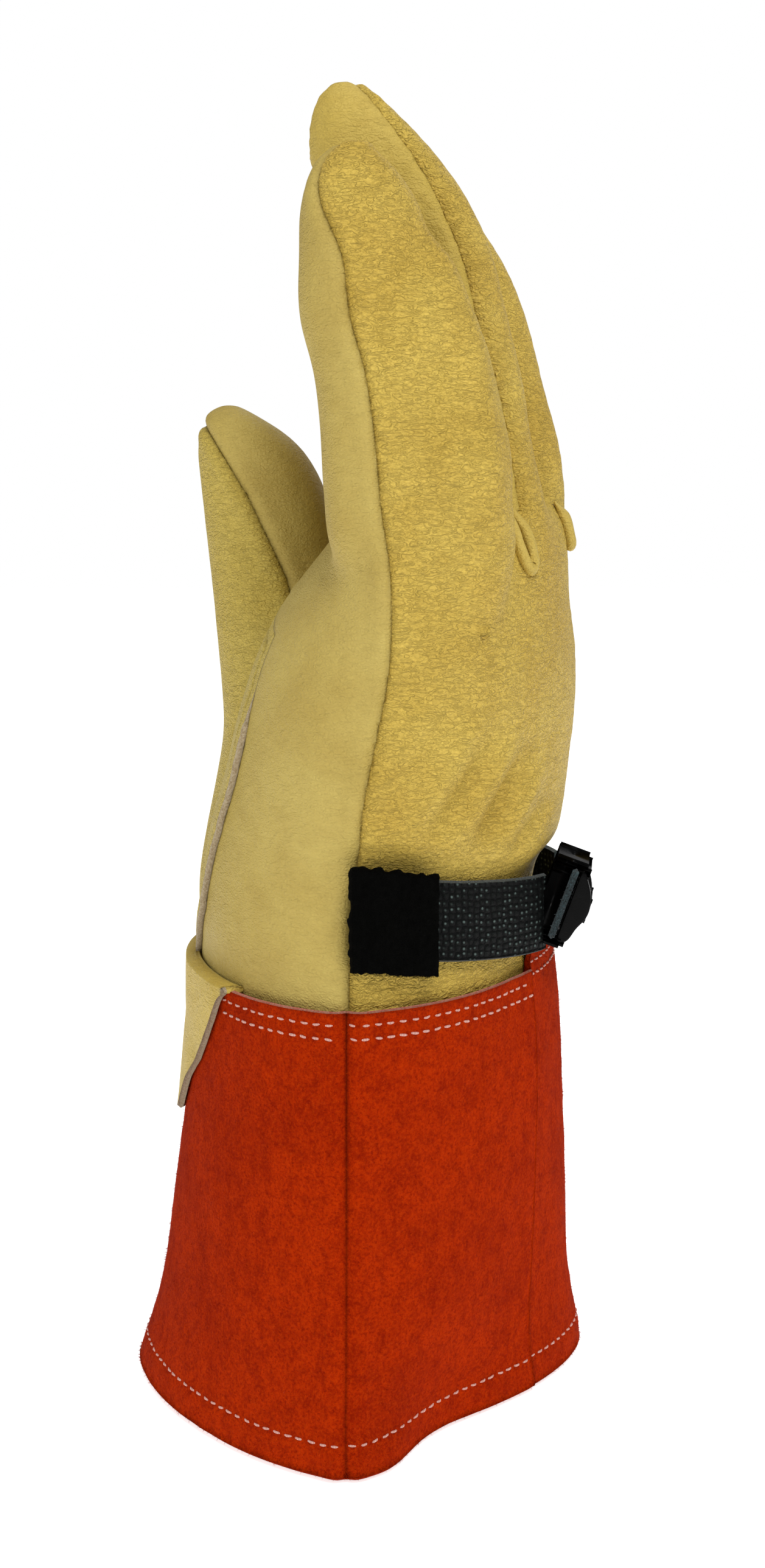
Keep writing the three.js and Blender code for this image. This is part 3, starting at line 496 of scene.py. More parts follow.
def seam_place(seams):
    """Where the seams with these shares of the fingers' thickness lie, as a function of y and height."""
    centres = np.array([across for _, across, _ in FINGER])

    def place(y, z):
        up = z / GLOVE_HEIGHT
        fingers = []
        for (_, _, rows), (low, tip, start, end) in zip(FINGER, seams):
            share = low + (tip - low) * smooth(start, end, z)
            seam = look_up(rows, "palm", up) * (1 - share) + look_up(rows, "back", up) * share
            fingers.append(seam * HALF_BREADTH)
        fingers = np.array(fingers)
        at = np.clip(np.searchsorted(centres, y) - 1, 0, len(centres) - 2)
        along = smooth(0.4, 0.6, (y - centres[at]) / (centres[at + 1] - centres[at]))
        across = np.arange(len(y))
        finger = fingers[at, across] * (1 - along) + fingers[at + 1, across] * along
        hand = (look_up(HAND, "seam", up) + look_up(HAND, "lean", up) * (1 + y / HALF_BREADTH)) * HALF_BREADTH
        share_up = smooth(196, 214, z)
        return hand * (1 - share_up) + finger * share_up

    return place


palm_seam = seam_place(PALM_SEAMS)
back_seam = seam_place(BACK_SEAMS)


def curve_at(rows, z):
    rows = np.array(rows)
    return np.interp(z / GLOVE_HEIGHT, rows[:, 0], rows[:, 1]) * HALF_BREADTH


def thumb_edge(z):
    return curve_at(THUMB_EDGE, z)


def thumb_crotch(z):
    return curve_at(THUMB_CROTCH, z)


def thumb_seam(z):
    return curve_at(THUMB_SEAM, z)


def part_along(mesh, axis, place, chosen):
    """Cuts the chosen faces where a coordinate equals place(other coordinates)."""
    points, _ = arrays(mesh)
    points[:, axis] -= place(points)
    mesh.vertices.foreach_set("co", points.ravel())
    work = bmesh.new()
    work.from_mesh(mesh)
    work.faces.ensure_lookup_table()
    faces = [work.faces[index] for index in np.nonzero(chosen)[0]]
    geometry = list({edge for face in faces for edge in face.edges}) + faces
    geometry += list({vertex for face in faces for vertex in face.verts})
    normal = [0, 0, 0]
    normal[axis] = 1
    bmesh.ops.bisect_plane(work, geom=geometry, dist=0.02, plane_co=(0, 0, 0), plane_no=normal)
    work.to_mesh(mesh)
    work.free()
    points, _ = arrays(mesh)
    points[:, axis] += place(points)
    mesh.vertices.foreach_set("co", points.ravel())
    mesh.update()


def face_centres(mesh):
    found = np.empty(len(mesh.polygons) * 3)
    mesh.polygons.foreach_get("center", found)
    return found.reshape(-1, 3)


CROTCH_LOW = 0.59
PANELS = (
    "palm", "back",
    "fourchette_little_ring", "fourchette_ring_middle", "fourchette_middle_index",
    "thumb_front", "thumb_back",
)


def panel_of(centres):
    """Which panel each point of the hand's skin belongs to, as an index into PANELS."""
    x, y, z = centres.T
    up = z / GLOVE_HEIGHT
    between = (x > palm_seam(y, z)) & (x < back_seam(y, z)) & (up > FORK_LOW)
    panel = np.where(x < palm_seam(y, z), 0, 1)
    thumb = (panel == 0) & (y > thumb_edge(z)) & (x < thumb_crotch(z))
    front = (x > thumb_seam(z)) & (up > THUMB_FRONT_LOW)
    panel = np.where(thumb, np.where(front, 5, 6), panel)
    for index in range(3):
        fork = between & (y > FINGER[index][1]) & (y < FINGER[index + 1][1])
        panel = np.where(fork, 2 + index, panel)
    return panel


def hand_panels():
    """The hand's skin cut into panels, with each point's distance to the nearest seam."""
    fork_low = FORK_LOW * GLOVE_HEIGHT
    front_low = THUMB_FRONT_LOW * GLOVE_HEIGHT
    mesh = plain_mesh("skin", *hand_skin())
    x, y, z = face_centres(mesh).T
    part_along(mesh, 0, lambda p: palm_seam(p[:, 1], p[:, 2]), np.full(len(x), True))

    x, y, z = face_centres(mesh).T
    part_along(mesh, 2, lambda p: np.full(len(p), fork_low), np.abs(z - fork_low) < 3)

    x, y, z = face_centres(mesh).T
    inner = (y > FINGER[0][1] - 1) & (y < FINGER[3][1] + 1) & (z > fork_low - 2)
    part_along(mesh, 0, lambda p: back_seam(p[:, 1], p[:, 2]), inner)

    for _, across, _ in FINGER:
        x, y, z = face_centres(mesh).T
        tips = (x > palm_seam(y, z)) & (x < back_seam(y, z)) & (z > fork_low) & (np.abs(y - across) < 3)
        part_along(mesh, 1, lambda p, across=across: np.full(len(p), across), tips)

    x, y, z = face_centres(mesh).T
    thumb = (x < palm_seam(y, z)) & (np.abs(y - thumb_edge(z)) < 3) & (x < thumb_crotch(z) + 3)
    part_along(mesh, 1, lambda p: thumb_edge(p[:, 2]), thumb)

    x, y, z = face_centres(mesh).T
    crotch = (y > thumb_edge(z) - 1) & (x < palm_seam(y, z)) & (z > CROTCH_LOW * GLOVE_HEIGHT)
    part_along(mesh, 0, lambda p: thumb_crotch(p[:, 2]), crotch)

    x, y, z = face_centres(mesh).T
    own = (y > thumb_edge(z)) & (x < thumb_crotch(z)) & (x < palm_seam(y, z)) & (z > front_low - 2)
    part_along(mesh, 0, lambda p: thumb_seam(p[:, 2]), own)

    x, y, z = face_centres(mesh).T
    foot = (y > thumb_edge(z)) & (np.abs(z - front_low) < 3)
    part_along(mesh, 2, lambda p: np.full(len(p), front_low), foot)

    points, faces = arrays(mesh)
    panel = panel_of(face_centres(mesh))
    lowest, highest = np.full(len(points), 99), np.full(len(points), -1)
    for face, which in zip(faces, panel):
        for index in face:
            lowest[index] = min(lowest[index], which)
            highest[index] = max(highest[index], which)
    on_seam = np.nonzero((lowest != highest) & (highest >= 0))[0]
    tree = kdtree.KDTree(len(on_seam))
    for index in on_seam:
        tree.insert(points[index], index)
    tree.balance()
    nearest = [tree.find(point) for point in points]
    distance = np.array([found[2] for found in nearest])
    seam_from = np.array([found[1] for found in nearest])
    pair = lowest[seam_from] * 10 + highest[seam_from]
    return points, faces, panel, distance, pair, normals_of(mesh)


def crease_push(points):
    creases = table(CREASE_COLUMNS, CREASES)
    push = np.zeros(len(points))
    flat = points[:, (0, 2)]
    near = smooth(6, -12, points[:, 1])
    for x0, up0, x1, up1, width, height in zip(*creases.values()):
        start = np.array((x0 * HALF_BREADTH, up0 * GLOVE_HEIGHT))
        along = np.array((x1 * HALF_BREADTH, up1 * GLOVE_HEIGHT)) - start
        length = np.linalg.norm(along)
        run = (flat - start) @ along / length ** 2
        aside = flat - start - np.clip(run, 0, 1)[:, None] * along
        gap = np.sum(aside ** 2, axis=1) / (width * HALF_BREADTH) ** 2
        taper = smooth(-0.15, 0.35, run) * smooth(1.15, 0.65, run)
        push += height * HALF_BREADTH * np.exp(-gap) * taper * near
    return push


SEAM_DEPTH = 0.9
SEAM_WIDTH = 0.85
SEAM_PILLOW = 0.4
LAP_RISE = 1.5
LAP_REACH = 7
LAP_STITCH = 3.8
# Which two panels meet at a seam, as their numbers in PANELS side by side: how deep it is and how much
# painted shade lies in it (6: no groove, only painted shadow on the palm beside the thumb's lapped edge)
SEAM_LOOKS = {
    1: (0.85, 0.3), 6: (0.0, 0.8), 56: (1.0, 0.5), 5: (0.8, 0.5),
    2: (0.5, 0.3), 3: (0.5, 0.3), 4: (0.5, 0.3),
    12: (0.5, 0.08), 13: (0.5, 0.08), 14: (0.5, 0.08),
}


def moved_hand():
    """The panels' points after seams, creases and waves, the thumb's own points raised over the palm, and
    each point's painted seam shade.
    """
    points, faces, panel, distance, pair, normals = hand_panels()
    back_side = points[:, 0] > palm_seam(points[:, 1], points[:, 2])
    lapped = pair == 6
    depth = np.array([SEAM_LOOKS.get(value, (1.0, 0.5))[0] for value in pair])
    dark = np.array([SEAM_LOOKS.get(value, (1.0, 0.5))[1] for value in pair])
    ripple = waves(points * (1, 1, 3.2), 5.5, 3)
    broad = waves(points, 26, 7)
    groove = -SEAM_DEPTH * np.exp(-(distance / SEAM_WIDTH) ** 2)
    groove += SEAM_PILLOW * np.exp(-((distance - 2.8) / 1.9) ** 2)
    pucker = 0.3 * ripple * np.exp(-(distance / 5) ** 2) * np.where(back_side, 1, 0.25)
    push = groove * depth + pucker + 0.45 * broad + crease_push(points) + 0.1 * ripple * back_side
    points = points + normals * push[:, None]
    z = points[:, 2]
    stitched = lapped * np.exp(-((distance - LAP_STITCH) / 0.6) ** 2)
    stitched = stitched * smooth(150, 158, z) * smooth(190, 182, z)
    rise = LAP_RISE * np.exp(-(distance / LAP_REACH) ** 2) * lapped
    rise = rise * smooth(PALM_EDGE_TOP + 8, PALM_EDGE_TOP - 6, z)
    raised = points + normals * (rise - 0.55 * stitched)[:, None]
    # Painted shade: darker along each seam groove, and on the thumb's lapped side only in its stitched
    # channel
    seam_shade = dark * np.clip(1 - distance / 0.9, 0, 1)
    thumb_seam_shade = np.where(lapped, 0.35 * stitched, seam_shade)
    on_edge = lapped & (distance < 0.01) & (points[:, 2] > PALM_EDGE_FOOT) & (points[:, 2] < PALM_EDGE_TOP)
    order = np.argsort(points[on_edge][:, 2])
    edge = raised[on_edge][order], normals[on_edge][order]
    return points, raised, faces, panel, seam_shade, thumb_seam_shade, edge


def panel_mesh(name, points, faces, panel, which, seam_shade, thickness):
    chosen = [face for face, found in zip(faces, panel) if found == which]
    used = sorted({index for face in chosen for index in face})
    renumber = {old: new for new, old in enumerate(used)}
    mesh = plain_mesh(name, points[used], [tuple(renumber[index] for index in face) for face in chosen])
    for _ in range(2):
        mesh.materials.append(None)
    note_seam_shade(mesh, seam_shade[used])
    return evaluated(mesh, [("SOLIDIFY", {"thickness": thickness, "offset": -1, "use_rim": True,
                                          "material_offset_rim": 1, "use_even_offset": False})])


def note_seam_shade(mesh, amounts):
    """Writes each point's painted seam shade, 0 to 1, as the groove attribute for the materials; points past
    the list get 0.
    """
    values = np.zeros(len(mesh.vertices))
    values[:len(amounts)] = amounts
    near = mesh.attributes.new("groove", "FLOAT", "POINT")
    near.data.foreach_set("value", values)


# Sheets made on a grid: cuff, vein patch and straps
def thick_sheet(name, outer, thickness, round_edge=0.35, taper=None, cut=(0, 999)):
    """A sheet with two faces, from a grid of outer points.

    Its rim takes the second material between the rows of cut.
    """
    rows, columns = outer.shape[:2]
    along = np.gradient(outer, axis=0)
    across = np.gradient(outer, axis=1)
    normal = np.cross(across, along)
    normal /= np.maximum(np.linalg.norm(normal, axis=-1, keepdims=True), 1e-9)
    thick = thickness * (np.ones(rows) if taper is None else taper)
    inner = outer - normal * thick[:, None, None]
    count = rows * columns
    faces = grid_faces(rows, columns, False)
    faces += [tuple(reversed([index + count for index in face])) for face in faces]
    points = [outer.reshape(-1, 3), inner.reshape(-1, 3)]
    skins = [0] * len(faces)
    rim = [(row, 0) for row in range(rows)] + [(rows - 1, column) for column in range(1, columns)]
    rim += [(row, columns - 1) for row in range(rows - 2, -1, -1)]
    rim += [(0, column) for column in range(columns - 2, 0, -1)]
    middles = []
    for row, column in rim:
        inside = outer[min(max(row, 1), rows - 2) if rows > 2 else row, min(max(column, 1), columns - 2)]
        away = outer[row, column] - inside
        size = np.linalg.norm(away)
        away = away / size if size > 1e-9 else away
        middles.append((outer[row, column] + inner[row, column]) / 2 + away * thick[row] * round_edge)
    points.append(np.array(middles))
    total = len(rim)
    for step in range(total):
        after = (step + 1) % total
        a = rim[step][0] * columns + rim[step][1]
        b = rim[after][0] * columns + rim[after][1]
        m, n = 2 * count + step, 2 * count + after
        faces.append((b, a, m, n))
        faces.append((n, m, a + count, b + count))
        rim_rows = rim[step][0], rim[after][0]
        skins += [int(min(rim_rows) >= cut[0] and max(rim_rows) <= cut[1])] * 2
    mesh = plain_mesh(name, np.concatenate(points), faces)
    mesh.polygons.foreach_set("material_index", skins)
    return mesh


def add_uv(mesh, rows, columns, length, height):
    layer = mesh.uv_layers.new(name="along")
    for face in mesh.polygons:
        for corner in face.loop_indices:
            index = mesh.loops[corner].vertex_index
            index = index % (rows * columns) if index < 2 * rows * columns else 0
            row, column = divmod(index, columns)
            layer.data[corner].uv = (row / (rows - 1) * length, column / (columns - 1) * height)


def hung(tree, points, inward):
    """Drops points onto a surface along a direction; returns places and normals."""
    places, normals = [], []
    for point, way in zip(points, inward):
        hit = tree.ray_cast(Vector(point - way * 12), Vector(way), 30)
        if hit[0] is not None:
            places.append(np.array(hit[0]))
            normals.append(np.array(hit[1]))
    return np.array(places), np.array(normals)


# Cuff
CUFF_SURFACE_BROAD = 0.7
CUFF_SURFACE_FINE = 0.18
SEAM_ROLL = 1.1
TOP_THICKNESS = 0.5
HEM_FOOT = 0.9
HEM_FOLD = 10.5
TOP_ROWS = (2.7, 5.8)
HEM_ROW = 8.0


def cuff_top(points):
    stepped = (points[..., 0] > CUFF_SEAM_X) & (points[..., 1] > CUFF_OVERLAP_Y)
    return np.where(stepped, CUFF_HEIGHT + CUFF_BACK_STEP, CUFF_HEIGHT)


def suede_surface(points, seam_gap, lap):
    """Soft waves of the hide, its roll at the side seams, the folded hem and the lap."""
    along_turn = np.gradient(points, axis=1)
    along_up = np.gradient(points, axis=0)
    normal = np.cross(along_turn, along_up)
    normal /= np.maximum(np.linalg.norm(normal, axis=-1, keepdims=True), 1e-9)
    flat = points.reshape(-1, 3)
    broad = waves(flat * (1, 1, 0.6), 24, 11).reshape(points.shape[:2])
    fine = waves(flat, 4.5, 12).reshape(points.shape[:2])
    z = points[..., 2]
    push = CUFF_SURFACE_BROAD * broad + CUFF_SURFACE_FINE * fine
    push *= smooth(0, 14, z) * 0.6 + 0.4
    push -= SEAM_ROLL * np.exp(-(seam_gap / 1.3) ** 2)
    push += 0.45 * np.exp(-((seam_gap - 4) / 2.6) ** 2)
    push += 0.35 * smooth(HEM_FOLD, HEM_FOLD - 3, z)
    push -= 0.3 * np.exp(-((z - HEM_ROW) / 0.9) ** 2)
    top = cuff_top(points)
    for row in TOP_ROWS:
        push -= 0.28 * np.exp(-((top - z - row) / 0.8) ** 2)
    push += lap
    return points + normal * push[..., None]


def cuff_grid(turn_from, turn_to, top, columns, rows=78):
    """Rows of points up the cuff; a turn may be a number or one value for each height."""
    heights = HEM_FOOT + (top - HEM_FOOT) * np.linspace(0, 1, rows)
    share = np.linspace(0, 1, columns)
    start = np.broadcast_to(turn_from(heights) if callable(turn_from) else turn_from, heights.shape)[:, None]
    end = np.broadcast_to(turn_to(heights) if callable(turn_to) else turn_to, heights.shape)[:, None]
    turn = start + (end - start) * share[None, :]
    return cuff_point(np.broadcast_to(heights[:, None], turn.shape), turn, 0)


def turn_at_y(across):
    def find(heights):
        turns = np.linspace(-math.pi / 2, 0, 240)
        rings = [cuff_point(np.full(240, z), turns, 0)[:, 1] for z in heights]
        return np.array([np.interp(across, ring, turns) for ring in rings])
    return find


def edge_gap(points):
    """Distance of every grid point to the first and the last column, along its row."""
    steps = np.linalg.norm(np.diff(points, axis=1), axis=-1)
    run = np.concatenate((np.zeros((len(points), 1)), np.cumsum(steps, axis=1)), axis=1)
    return run, run[:, -1:] - run


def cuff_meshes():
    half = math.pi / 2
    palm = cuff_grid(half, 3 * half, CUFF_HEIGHT, 150)
    first, last = edge_gap(palm)
    palm_gap = np.minimum(first, last)
    palm = suede_surface(palm, palm_gap, 0)
    ulnar = cuff_grid(-half + 0.004, turn_at_y(CUFF_OVERLAP_Y - GAP / 2), CUFF_HEIGHT, 60)
    ulnar_gap, last = edge_gap(ulnar)
    ulnar = suede_surface(ulnar, ulnar_gap, 0.45 * np.exp(-(last / 5) ** 2))
    overlap = turn_at_y(CUFF_OVERLAP_Y + GAP / 2)
    radial = cuff_grid(overlap, half - 0.004, CUFF_HEIGHT + CUFF_BACK_STEP, 110, 82)
    first, radial_gap = edge_gap(radial)
    radial = suede_surface(radial, radial_gap, -0.1 * np.exp(-(first / 4) ** 2))
    return {
        "cuff_palm": (palm, palm_gap),
        "cuff_back_ulnar": (ulnar, ulnar_gap),
        "cuff_back_radial": (radial, radial_gap),
    }


# Vein patch
PATCH_FOLD = 1.2
PATCH_ROWS = 60


def patch_grid():
    """Rows up the palm side of the cuff, then a rounded fold over its top edge."""
    outline = np.array(PATCH_OUTLINE)
    across = np.linspace(outline[-1, 0] - 0.02, outline[0, 0] + 0.02, 90)
    low = np.interp(across, outline[:, 0], outline[:, 1]) * GLOVE_HEIGHT
    high = np.full(len(across), outline[0, 1] * GLOVE_HEIGHT)
    low = np.minimum(low, high - 1.5)
    share = np.linspace(0, 1, PATCH_ROWS)[:, None]
    fold = np.linspace(0.12, 1, 9)[:, None] * math.pi / 2
    bulk = PATCH_FOLD * (0.75 + 0.25 * np.cos(across * 5))
    z = np.concatenate((low + (high - low) * share, high + bulk * np.sin(fold)))
    inset = -(GAP + PATCH_THICKNESS) * np.ones_like(z)
    inset[PATCH_ROWS:] += 3.4 * (1 - np.cos(fold))
    y = np.broadcast_to(across * HALF_BREADTH, z.shape)
    up = np.minimum(z, high) / CUFF_HEIGHT
    wide = np.where(y < 0, -look_up(CUFF, "ulnar", up), look_up(CUFF, "radial", up)) * HALF_HEM
    wide = wide - inset * CUFF_NOSE_INSET
    s = np.sign(y) * np.clip(np.abs(y) / wide, 0, 1) ** (1 / look_up(CUFF, "palm_crest", up))
    turn = np.where(s < 0, -math.pi - np.arcsin(s), math.pi - np.arcsin(s))
    points = cuff_point(up * CUFF_HEIGHT, turn, inset)
    points[..., 2] = z
    return points


# Bands on the wrist
def wrist_frame(turn, lift):
    first = hand_point(STRAP_HEIGHT * GLOVE_HEIGHT, turn)
    middle = hand_point(strap_line(first[..., 0]), turn)
    z = middle[..., 2]
    along = hand_point(z, turn + 0.02) - hand_point(z, turn - 0.02)
    along[..., 2] = 0
    along /= np.linalg.norm(along, axis=-1, keepdims=True)
    out = np.stack((along[..., 1], -along[..., 0], np.zeros_like(z)), axis=-1)
    return middle + out * np.asarray(lift)[..., None], along, out


def band_grid(start, end, steps, lift, thickness, height, columns):
    turns = np.linspace(start, end, steps)
    stand = STRAP_STAND * smooth(STRAP_LEAVES, 0, turns) * (1 - smooth(0, -STRAP_LEAVES, turns))
    middle, along, out = wrist_frame(turns, lift + stand + thickness)
    levels = np.linspace(height / 2, -height / 2, columns)
    points = np.repeat(middle[:, None, :], columns, axis=1)
    points[..., 2] += levels
    return points, out


# Slide on the strap: a frame under the webbing's end, bars over it, and a D-shaped plate at each end
SLIDE_LENGTH = 15
SLIDE_HEIGHT = 18.8
SLIDE_THICKNESS = 3.2
SLIDE_RIM = 2.2
SLIDE_SLOT = 3
SLIDE_LEAN = 0.34
SLIDE_PLATE = 2.2
SLIDE_ROUNDING = 0.9
# How far the webbing's folded end runs past the slide's middle, its thickness and its width
SLIDE_FOLD = 3
WEBBING = 1.6
TAIL_WIDTH = 16.6
# Bars outside the webbing: distance out, place up the slide, how much shorter than the slide they are,
# size out, size up, rounding
OUTER_BARS = (
    (3.2, 0.0, 2.0, 2.0, 4.4, 0.9),
    (1.0, -8.9, 1.0, 1.6, 1.4, 0.6),
    (1.0, 8.5, 1.0, 1.6, 1.4, 0.6),
)
# Bars past the webbing's two edges, which join the frame to the plates
BRIDGE_OUT = 3.0
BRIDGE_UP = 9.4
BRIDGE_SIZE = (SLIDE_LENGTH - 0.4, 6.2, 1.5)
BRIDGE_ROUNDING = 0.7
# The end plate's bulging side: out from the webbing's outer face, and up, in millimetres
PLATE_OUTLINE = (
    (0.2, 9.9), (1.0, 9.6), (1.5, 8.4), (2.1, 7.2), (3.5, 5.4), (4.5, 3.6), (5.2, 1.2), (5.3, -0.9),
    (4.8, -2.9), (3.9, -4.3), (3.5, -5.7), (3.3, -7.4), (2.9, -8.6), (2.2, -9.4), (0.2, -10.0),
)


def slide_frame():
    """Place and axes of the slide: along the webbing, outward, and up the slide's leaning face."""
    along = np.array((math.sin(SLIDE_TURN), math.cos(SLIDE_TURN), 0))
    out = np.array((math.cos(SLIDE_TURN), -math.sin(SLIDE_TURN), 0))
    up = np.array((0, 0, math.cos(SLIDE_LEAN))) + out * math.sin(SLIDE_LEAN)
    out = out * math.cos(SLIDE_LEAN) - np.array((0, 0, math.sin(SLIDE_LEAN)))
    return np.array(SLIDE_PLACE), along, out, up


def rounded_bar(work, corners, centre, axes, size, radius):
    """Adds a box with rounded edges; axes are its three directions and size its full lengths."""
    made = bmesh.ops.create_cube(work, size=1)["verts"]
    for vertex in made:
        local = vertex.co.copy()
        place = centre.copy()
        for axis in range(3):
            place = place + axes[axis] * local[axis] * size[axis]
        vertex.co = Vector(place)
    edges = {edge for vertex in made for edge in vertex.link_edges}
    offset = min(radius, min(size) * 0.45)
    bmesh.ops.bevel(work, geom=list(edges), offset=offset, segments=corners, profile=0.5, affect="EDGES",
                    clamp_overlap=True)


def slide_mesh():
    at, along, out, up = slide_frame()
    axes = (along, out, up)
    work = bmesh.new()
    half, tall = SLIDE_LENGTH / 2, SLIDE_HEIGHT / 2
    middle = at + out * SLIDE_THICKNESS / 2
    rim = SLIDE_RIM
    for side in (-1, 1):
        edge = middle + up * side * (tall - rim / 2)
        rounded_bar(work, 3, edge, axes, (SLIDE_LENGTH, SLIDE_THICKNESS, rim), SLIDE_ROUNDING)
        end = middle + along * side * (half - rim / 2)
        rounded_bar(work, 3, end, axes, (rim, SLIDE_THICKNESS, SLIDE_HEIGHT), SLIDE_ROUNDING)
    inner = SLIDE_LENGTH - 2 * rim - 2 * SLIDE_SLOT
    rounded_bar(work, 3, middle, axes, (inner, SLIDE_THICKNESS, SLIDE_HEIGHT - 1), SLIDE_ROUNDING)
    outer = at + out * slide_webbing_face()
    for reach, level, shorter, deep, high, rounding in OUTER_BARS:
        place = outer + out * reach + up * level
        rounded_bar(work, 3, place, axes, (SLIDE_LENGTH - shorter, deep, high), rounding)
    for side in (-1, 1):
        place = at + out * BRIDGE_OUT + up * side * BRIDGE_UP
        rounded_bar(work, 4, place, axes, BRIDGE_SIZE, BRIDGE_ROUNDING)
    mesh = bpy.data.meshes.new("slide")
    work.to_mesh(mesh)
    work.free()
    return merged("slide", [mesh, end_plate(outer, -1), end_plate(outer, 1)])


def end_plate(outer, side):
    """A D-shaped plate across the slide's end, with rounded edges."""
    _, along, out, up = slide_frame()
    outline = np.array(PLATE_OUTLINE)
    closed = np.concatenate((outline, outline[:1]))
    steps = np.concatenate(([0], np.cumsum(np.linalg.norm(np.diff(closed, axis=0), axis=1))))
    fine = np.linspace(0, steps[-1], 90, endpoint=False)
    outline = np.stack([np.interp(fine, steps, closed[:, axis]) for axis in range(2)], axis=1)
    for _ in range(10):
        outline = (np.roll(outline, 1, axis=0) + np.roll(outline, -1, axis=0) + 2 * outline) / 4
    centre = np.array((2.6, 0.0))
    half = SLIDE_PLATE / 2
    rings = []
    for shrink, run in ((0.5, -half), (0.86, -half), (0.95, -half + 0.05), (1.0, -half + 0.45),
                        (1.0, half - 0.45), (0.95, half - 0.05), (0.86, half), (0.5, half)):
        flat = centre + (outline - centre) * shrink
        run_along = side * (SLIDE_LENGTH / 2 - half) + run
        rings.append([outer + out * reach + up * level + along * run_along for reach, level in flat])
    return plain_mesh("plate", *capped(np.array(rings)))


def slide_webbing_face():
    return SLIDE_THICKNESS + GAP + WEBBING + GAP


# Stitches and fibres
def stitch_mesh(name, places, normals, pitch, length, radius, seed, gap_after=None):
    """Short threads laid along a line of places, each dipping into the material at its ends."""
    steps = np.linalg.norm(np.diff(places, axis=0), axis=1)
    run = np.concatenate(([0], np.cumsum(steps)))
    count = int(run[-1] / pitch)
    maker = np.random.default_rng(seed)
    points, faces = [], []
    rings, sides = 6, 6
    for index in range(count):
        centre_run = (index + 0.5) * pitch + maker.uniform(-0.2, 0.2)
        long_half = length / 2 * maker.uniform(0.85, 1.1)
        ends = [np.array([np.interp(at, run, places[:, axis]) for axis in range(3)])
                for at in (centre_run - long_half, centre_run + long_half)]
        normal = np.array([np.interp(centre_run, run, normals[:, axis]) for axis in range(3)])
        normal /= max(np.linalg.norm(normal), 1e-9)
        along = ends[1] - ends[0]
        if not 0.3 * length < np.linalg.norm(along) < 1.6 * length:
            continue
        along /= np.linalg.norm(along)
        aside = np.cross(along, normal)
        slant = aside * maker.uniform(-0.18, 0.18)
        start = len(points)
        for ring in range(rings + 1):
            share = ring / rings
            middle = ends[0] * (1 - share) + ends[1] * share + slant * (share - 0.5) * 2
            arch = math.sin(math.pi * share)
            middle = middle + normal * (radius * (1.5 * arch - 0.9))
            thick = radius * (0.45 + 0.55 * arch ** 0.5)
            for side in range(sides):
                turn = 2 * math.pi * side / sides
                sideways = aside * math.cos(turn) * thick * 1.15
                points.append(middle + sideways + normal * math.sin(turn) * thick)
        for ring in range(rings):
            for side in range(sides):
                after = (side + 1) % sides
                low, high = start + ring * sides, start + (ring + 1) * sides
                faces.append((low + side, high + side, high + after, low + after))
        faces.append(tuple(start + side for side in range(sides)))
        faces.append(tuple(start + rings * sides + side for side in reversed(range(sides))))
    return plain_mesh(name, np.array(points), faces)


def fibre_mesh(name, roots, ways, length, width, seed, curl=0.5):
    """Fine curved fibres, each a narrow blade of two steps and a tip."""
    maker = np.random.default_rng(seed)
    points, faces = [], []
    for root, way in zip(roots, ways):
        way = way / max(np.linalg.norm(way), 1e-9)
        drift = maker.normal(0, 1, 3)
        drift -= way * (drift @ way)
        drift /= max(np.linalg.norm(drift), 1e-9)
        side = np.cross(way, drift)
        reach = length * maker.uniform(0.35, 1.2)
        bend = maker.uniform(0.1, 1) * curl
        start = len(points)
        for step in range(3):
            share = step / 3
            middle = root + way * reach * share + drift * reach * bend * share ** 2
            half = width / 2 * (1 - 0.6 * share)
            points.extend((middle - side * half, middle + side * half))
        points.append(root + way * reach + drift * reach * bend)
        faces.extend(((start, start + 1, start + 3, start + 2), (start + 2, start + 3, start + 5, start + 4),
                      (start + 4, start + 5, start + 6)))
    return plain_mesh(name, np.array(points), faces)


# Materials
def add(tree, kind, settings=None, inputs=None):
    node = tree.nodes.new(kind)
    for key, value in (settings or {}).items():
        setattr(node, key, value)
    for key, value in (inputs or {}).items():
        if isinstance(value, bpy.types.NodeSocket):
            tree.links.new(value, node.inputs[key])
        else:
            node.inputs[key].default_value = value
    return node


def colour(value):
    return (*tuple(value)[:3], 1.0)


def started(name):
    material = bpy.data.materials.new(name)
    material.use_nodes = True
    tree = material.node_tree
    tree.nodes.clear()
    place = add(tree, "ShaderNodeTexCoord").outputs["Object"]
    scaled = add(tree, "ShaderNodeVectorMath", {"operation": "SCALE"}, {0: place, "Scale": 1000.0})
    millimetres = scaled.outputs[0]
    return material, tree, millimetres


def noise_of(tree, vector, scale, detail=4.0, roughness=0.55, distortion=0.0):
    made = add(tree, "ShaderNodeTexNoise", None, {"Vector": vector, "Scale": scale, "Detail": detail,
                                                 "Roughness": roughness, "Distortion": distortion})
    return made.outputs["Fac"]


def spread(tree, value, low, high, to_low=0.0, to_high=1.0):
    made = add(tree, "ShaderNodeMapRange", {"clamp": True}, {
        "Value": value, "From Min": low, "From Max": high, "To Min": to_low, "To Max": to_high,
    })
    return made.outputs["Result"]


def mixed(tree, factor, first, second, blend="MIX"):
    made = add(tree, "ShaderNodeMix", {"data_type": "RGBA", "blend_type": blend})
    for key, value in ((0, factor), (6, first), (7, second)):
        if isinstance(value, bpy.types.NodeSocket):
            tree.links.new(value, made.inputs[key])
        else:
            made.inputs[key].default_value = value
    return made.outputs[2]


def maths(tree, operation, first, second):
    made = add(tree, "ShaderNodeMath", {"operation": operation}, {0: first, 1: second})
    return made.outputs[0]


def stretched(tree, vector, scale):
    return add(tree, "ShaderNodeVectorMath", {"operation": "MULTIPLY"}, {0: vector, 1: scale}).outputs[0]


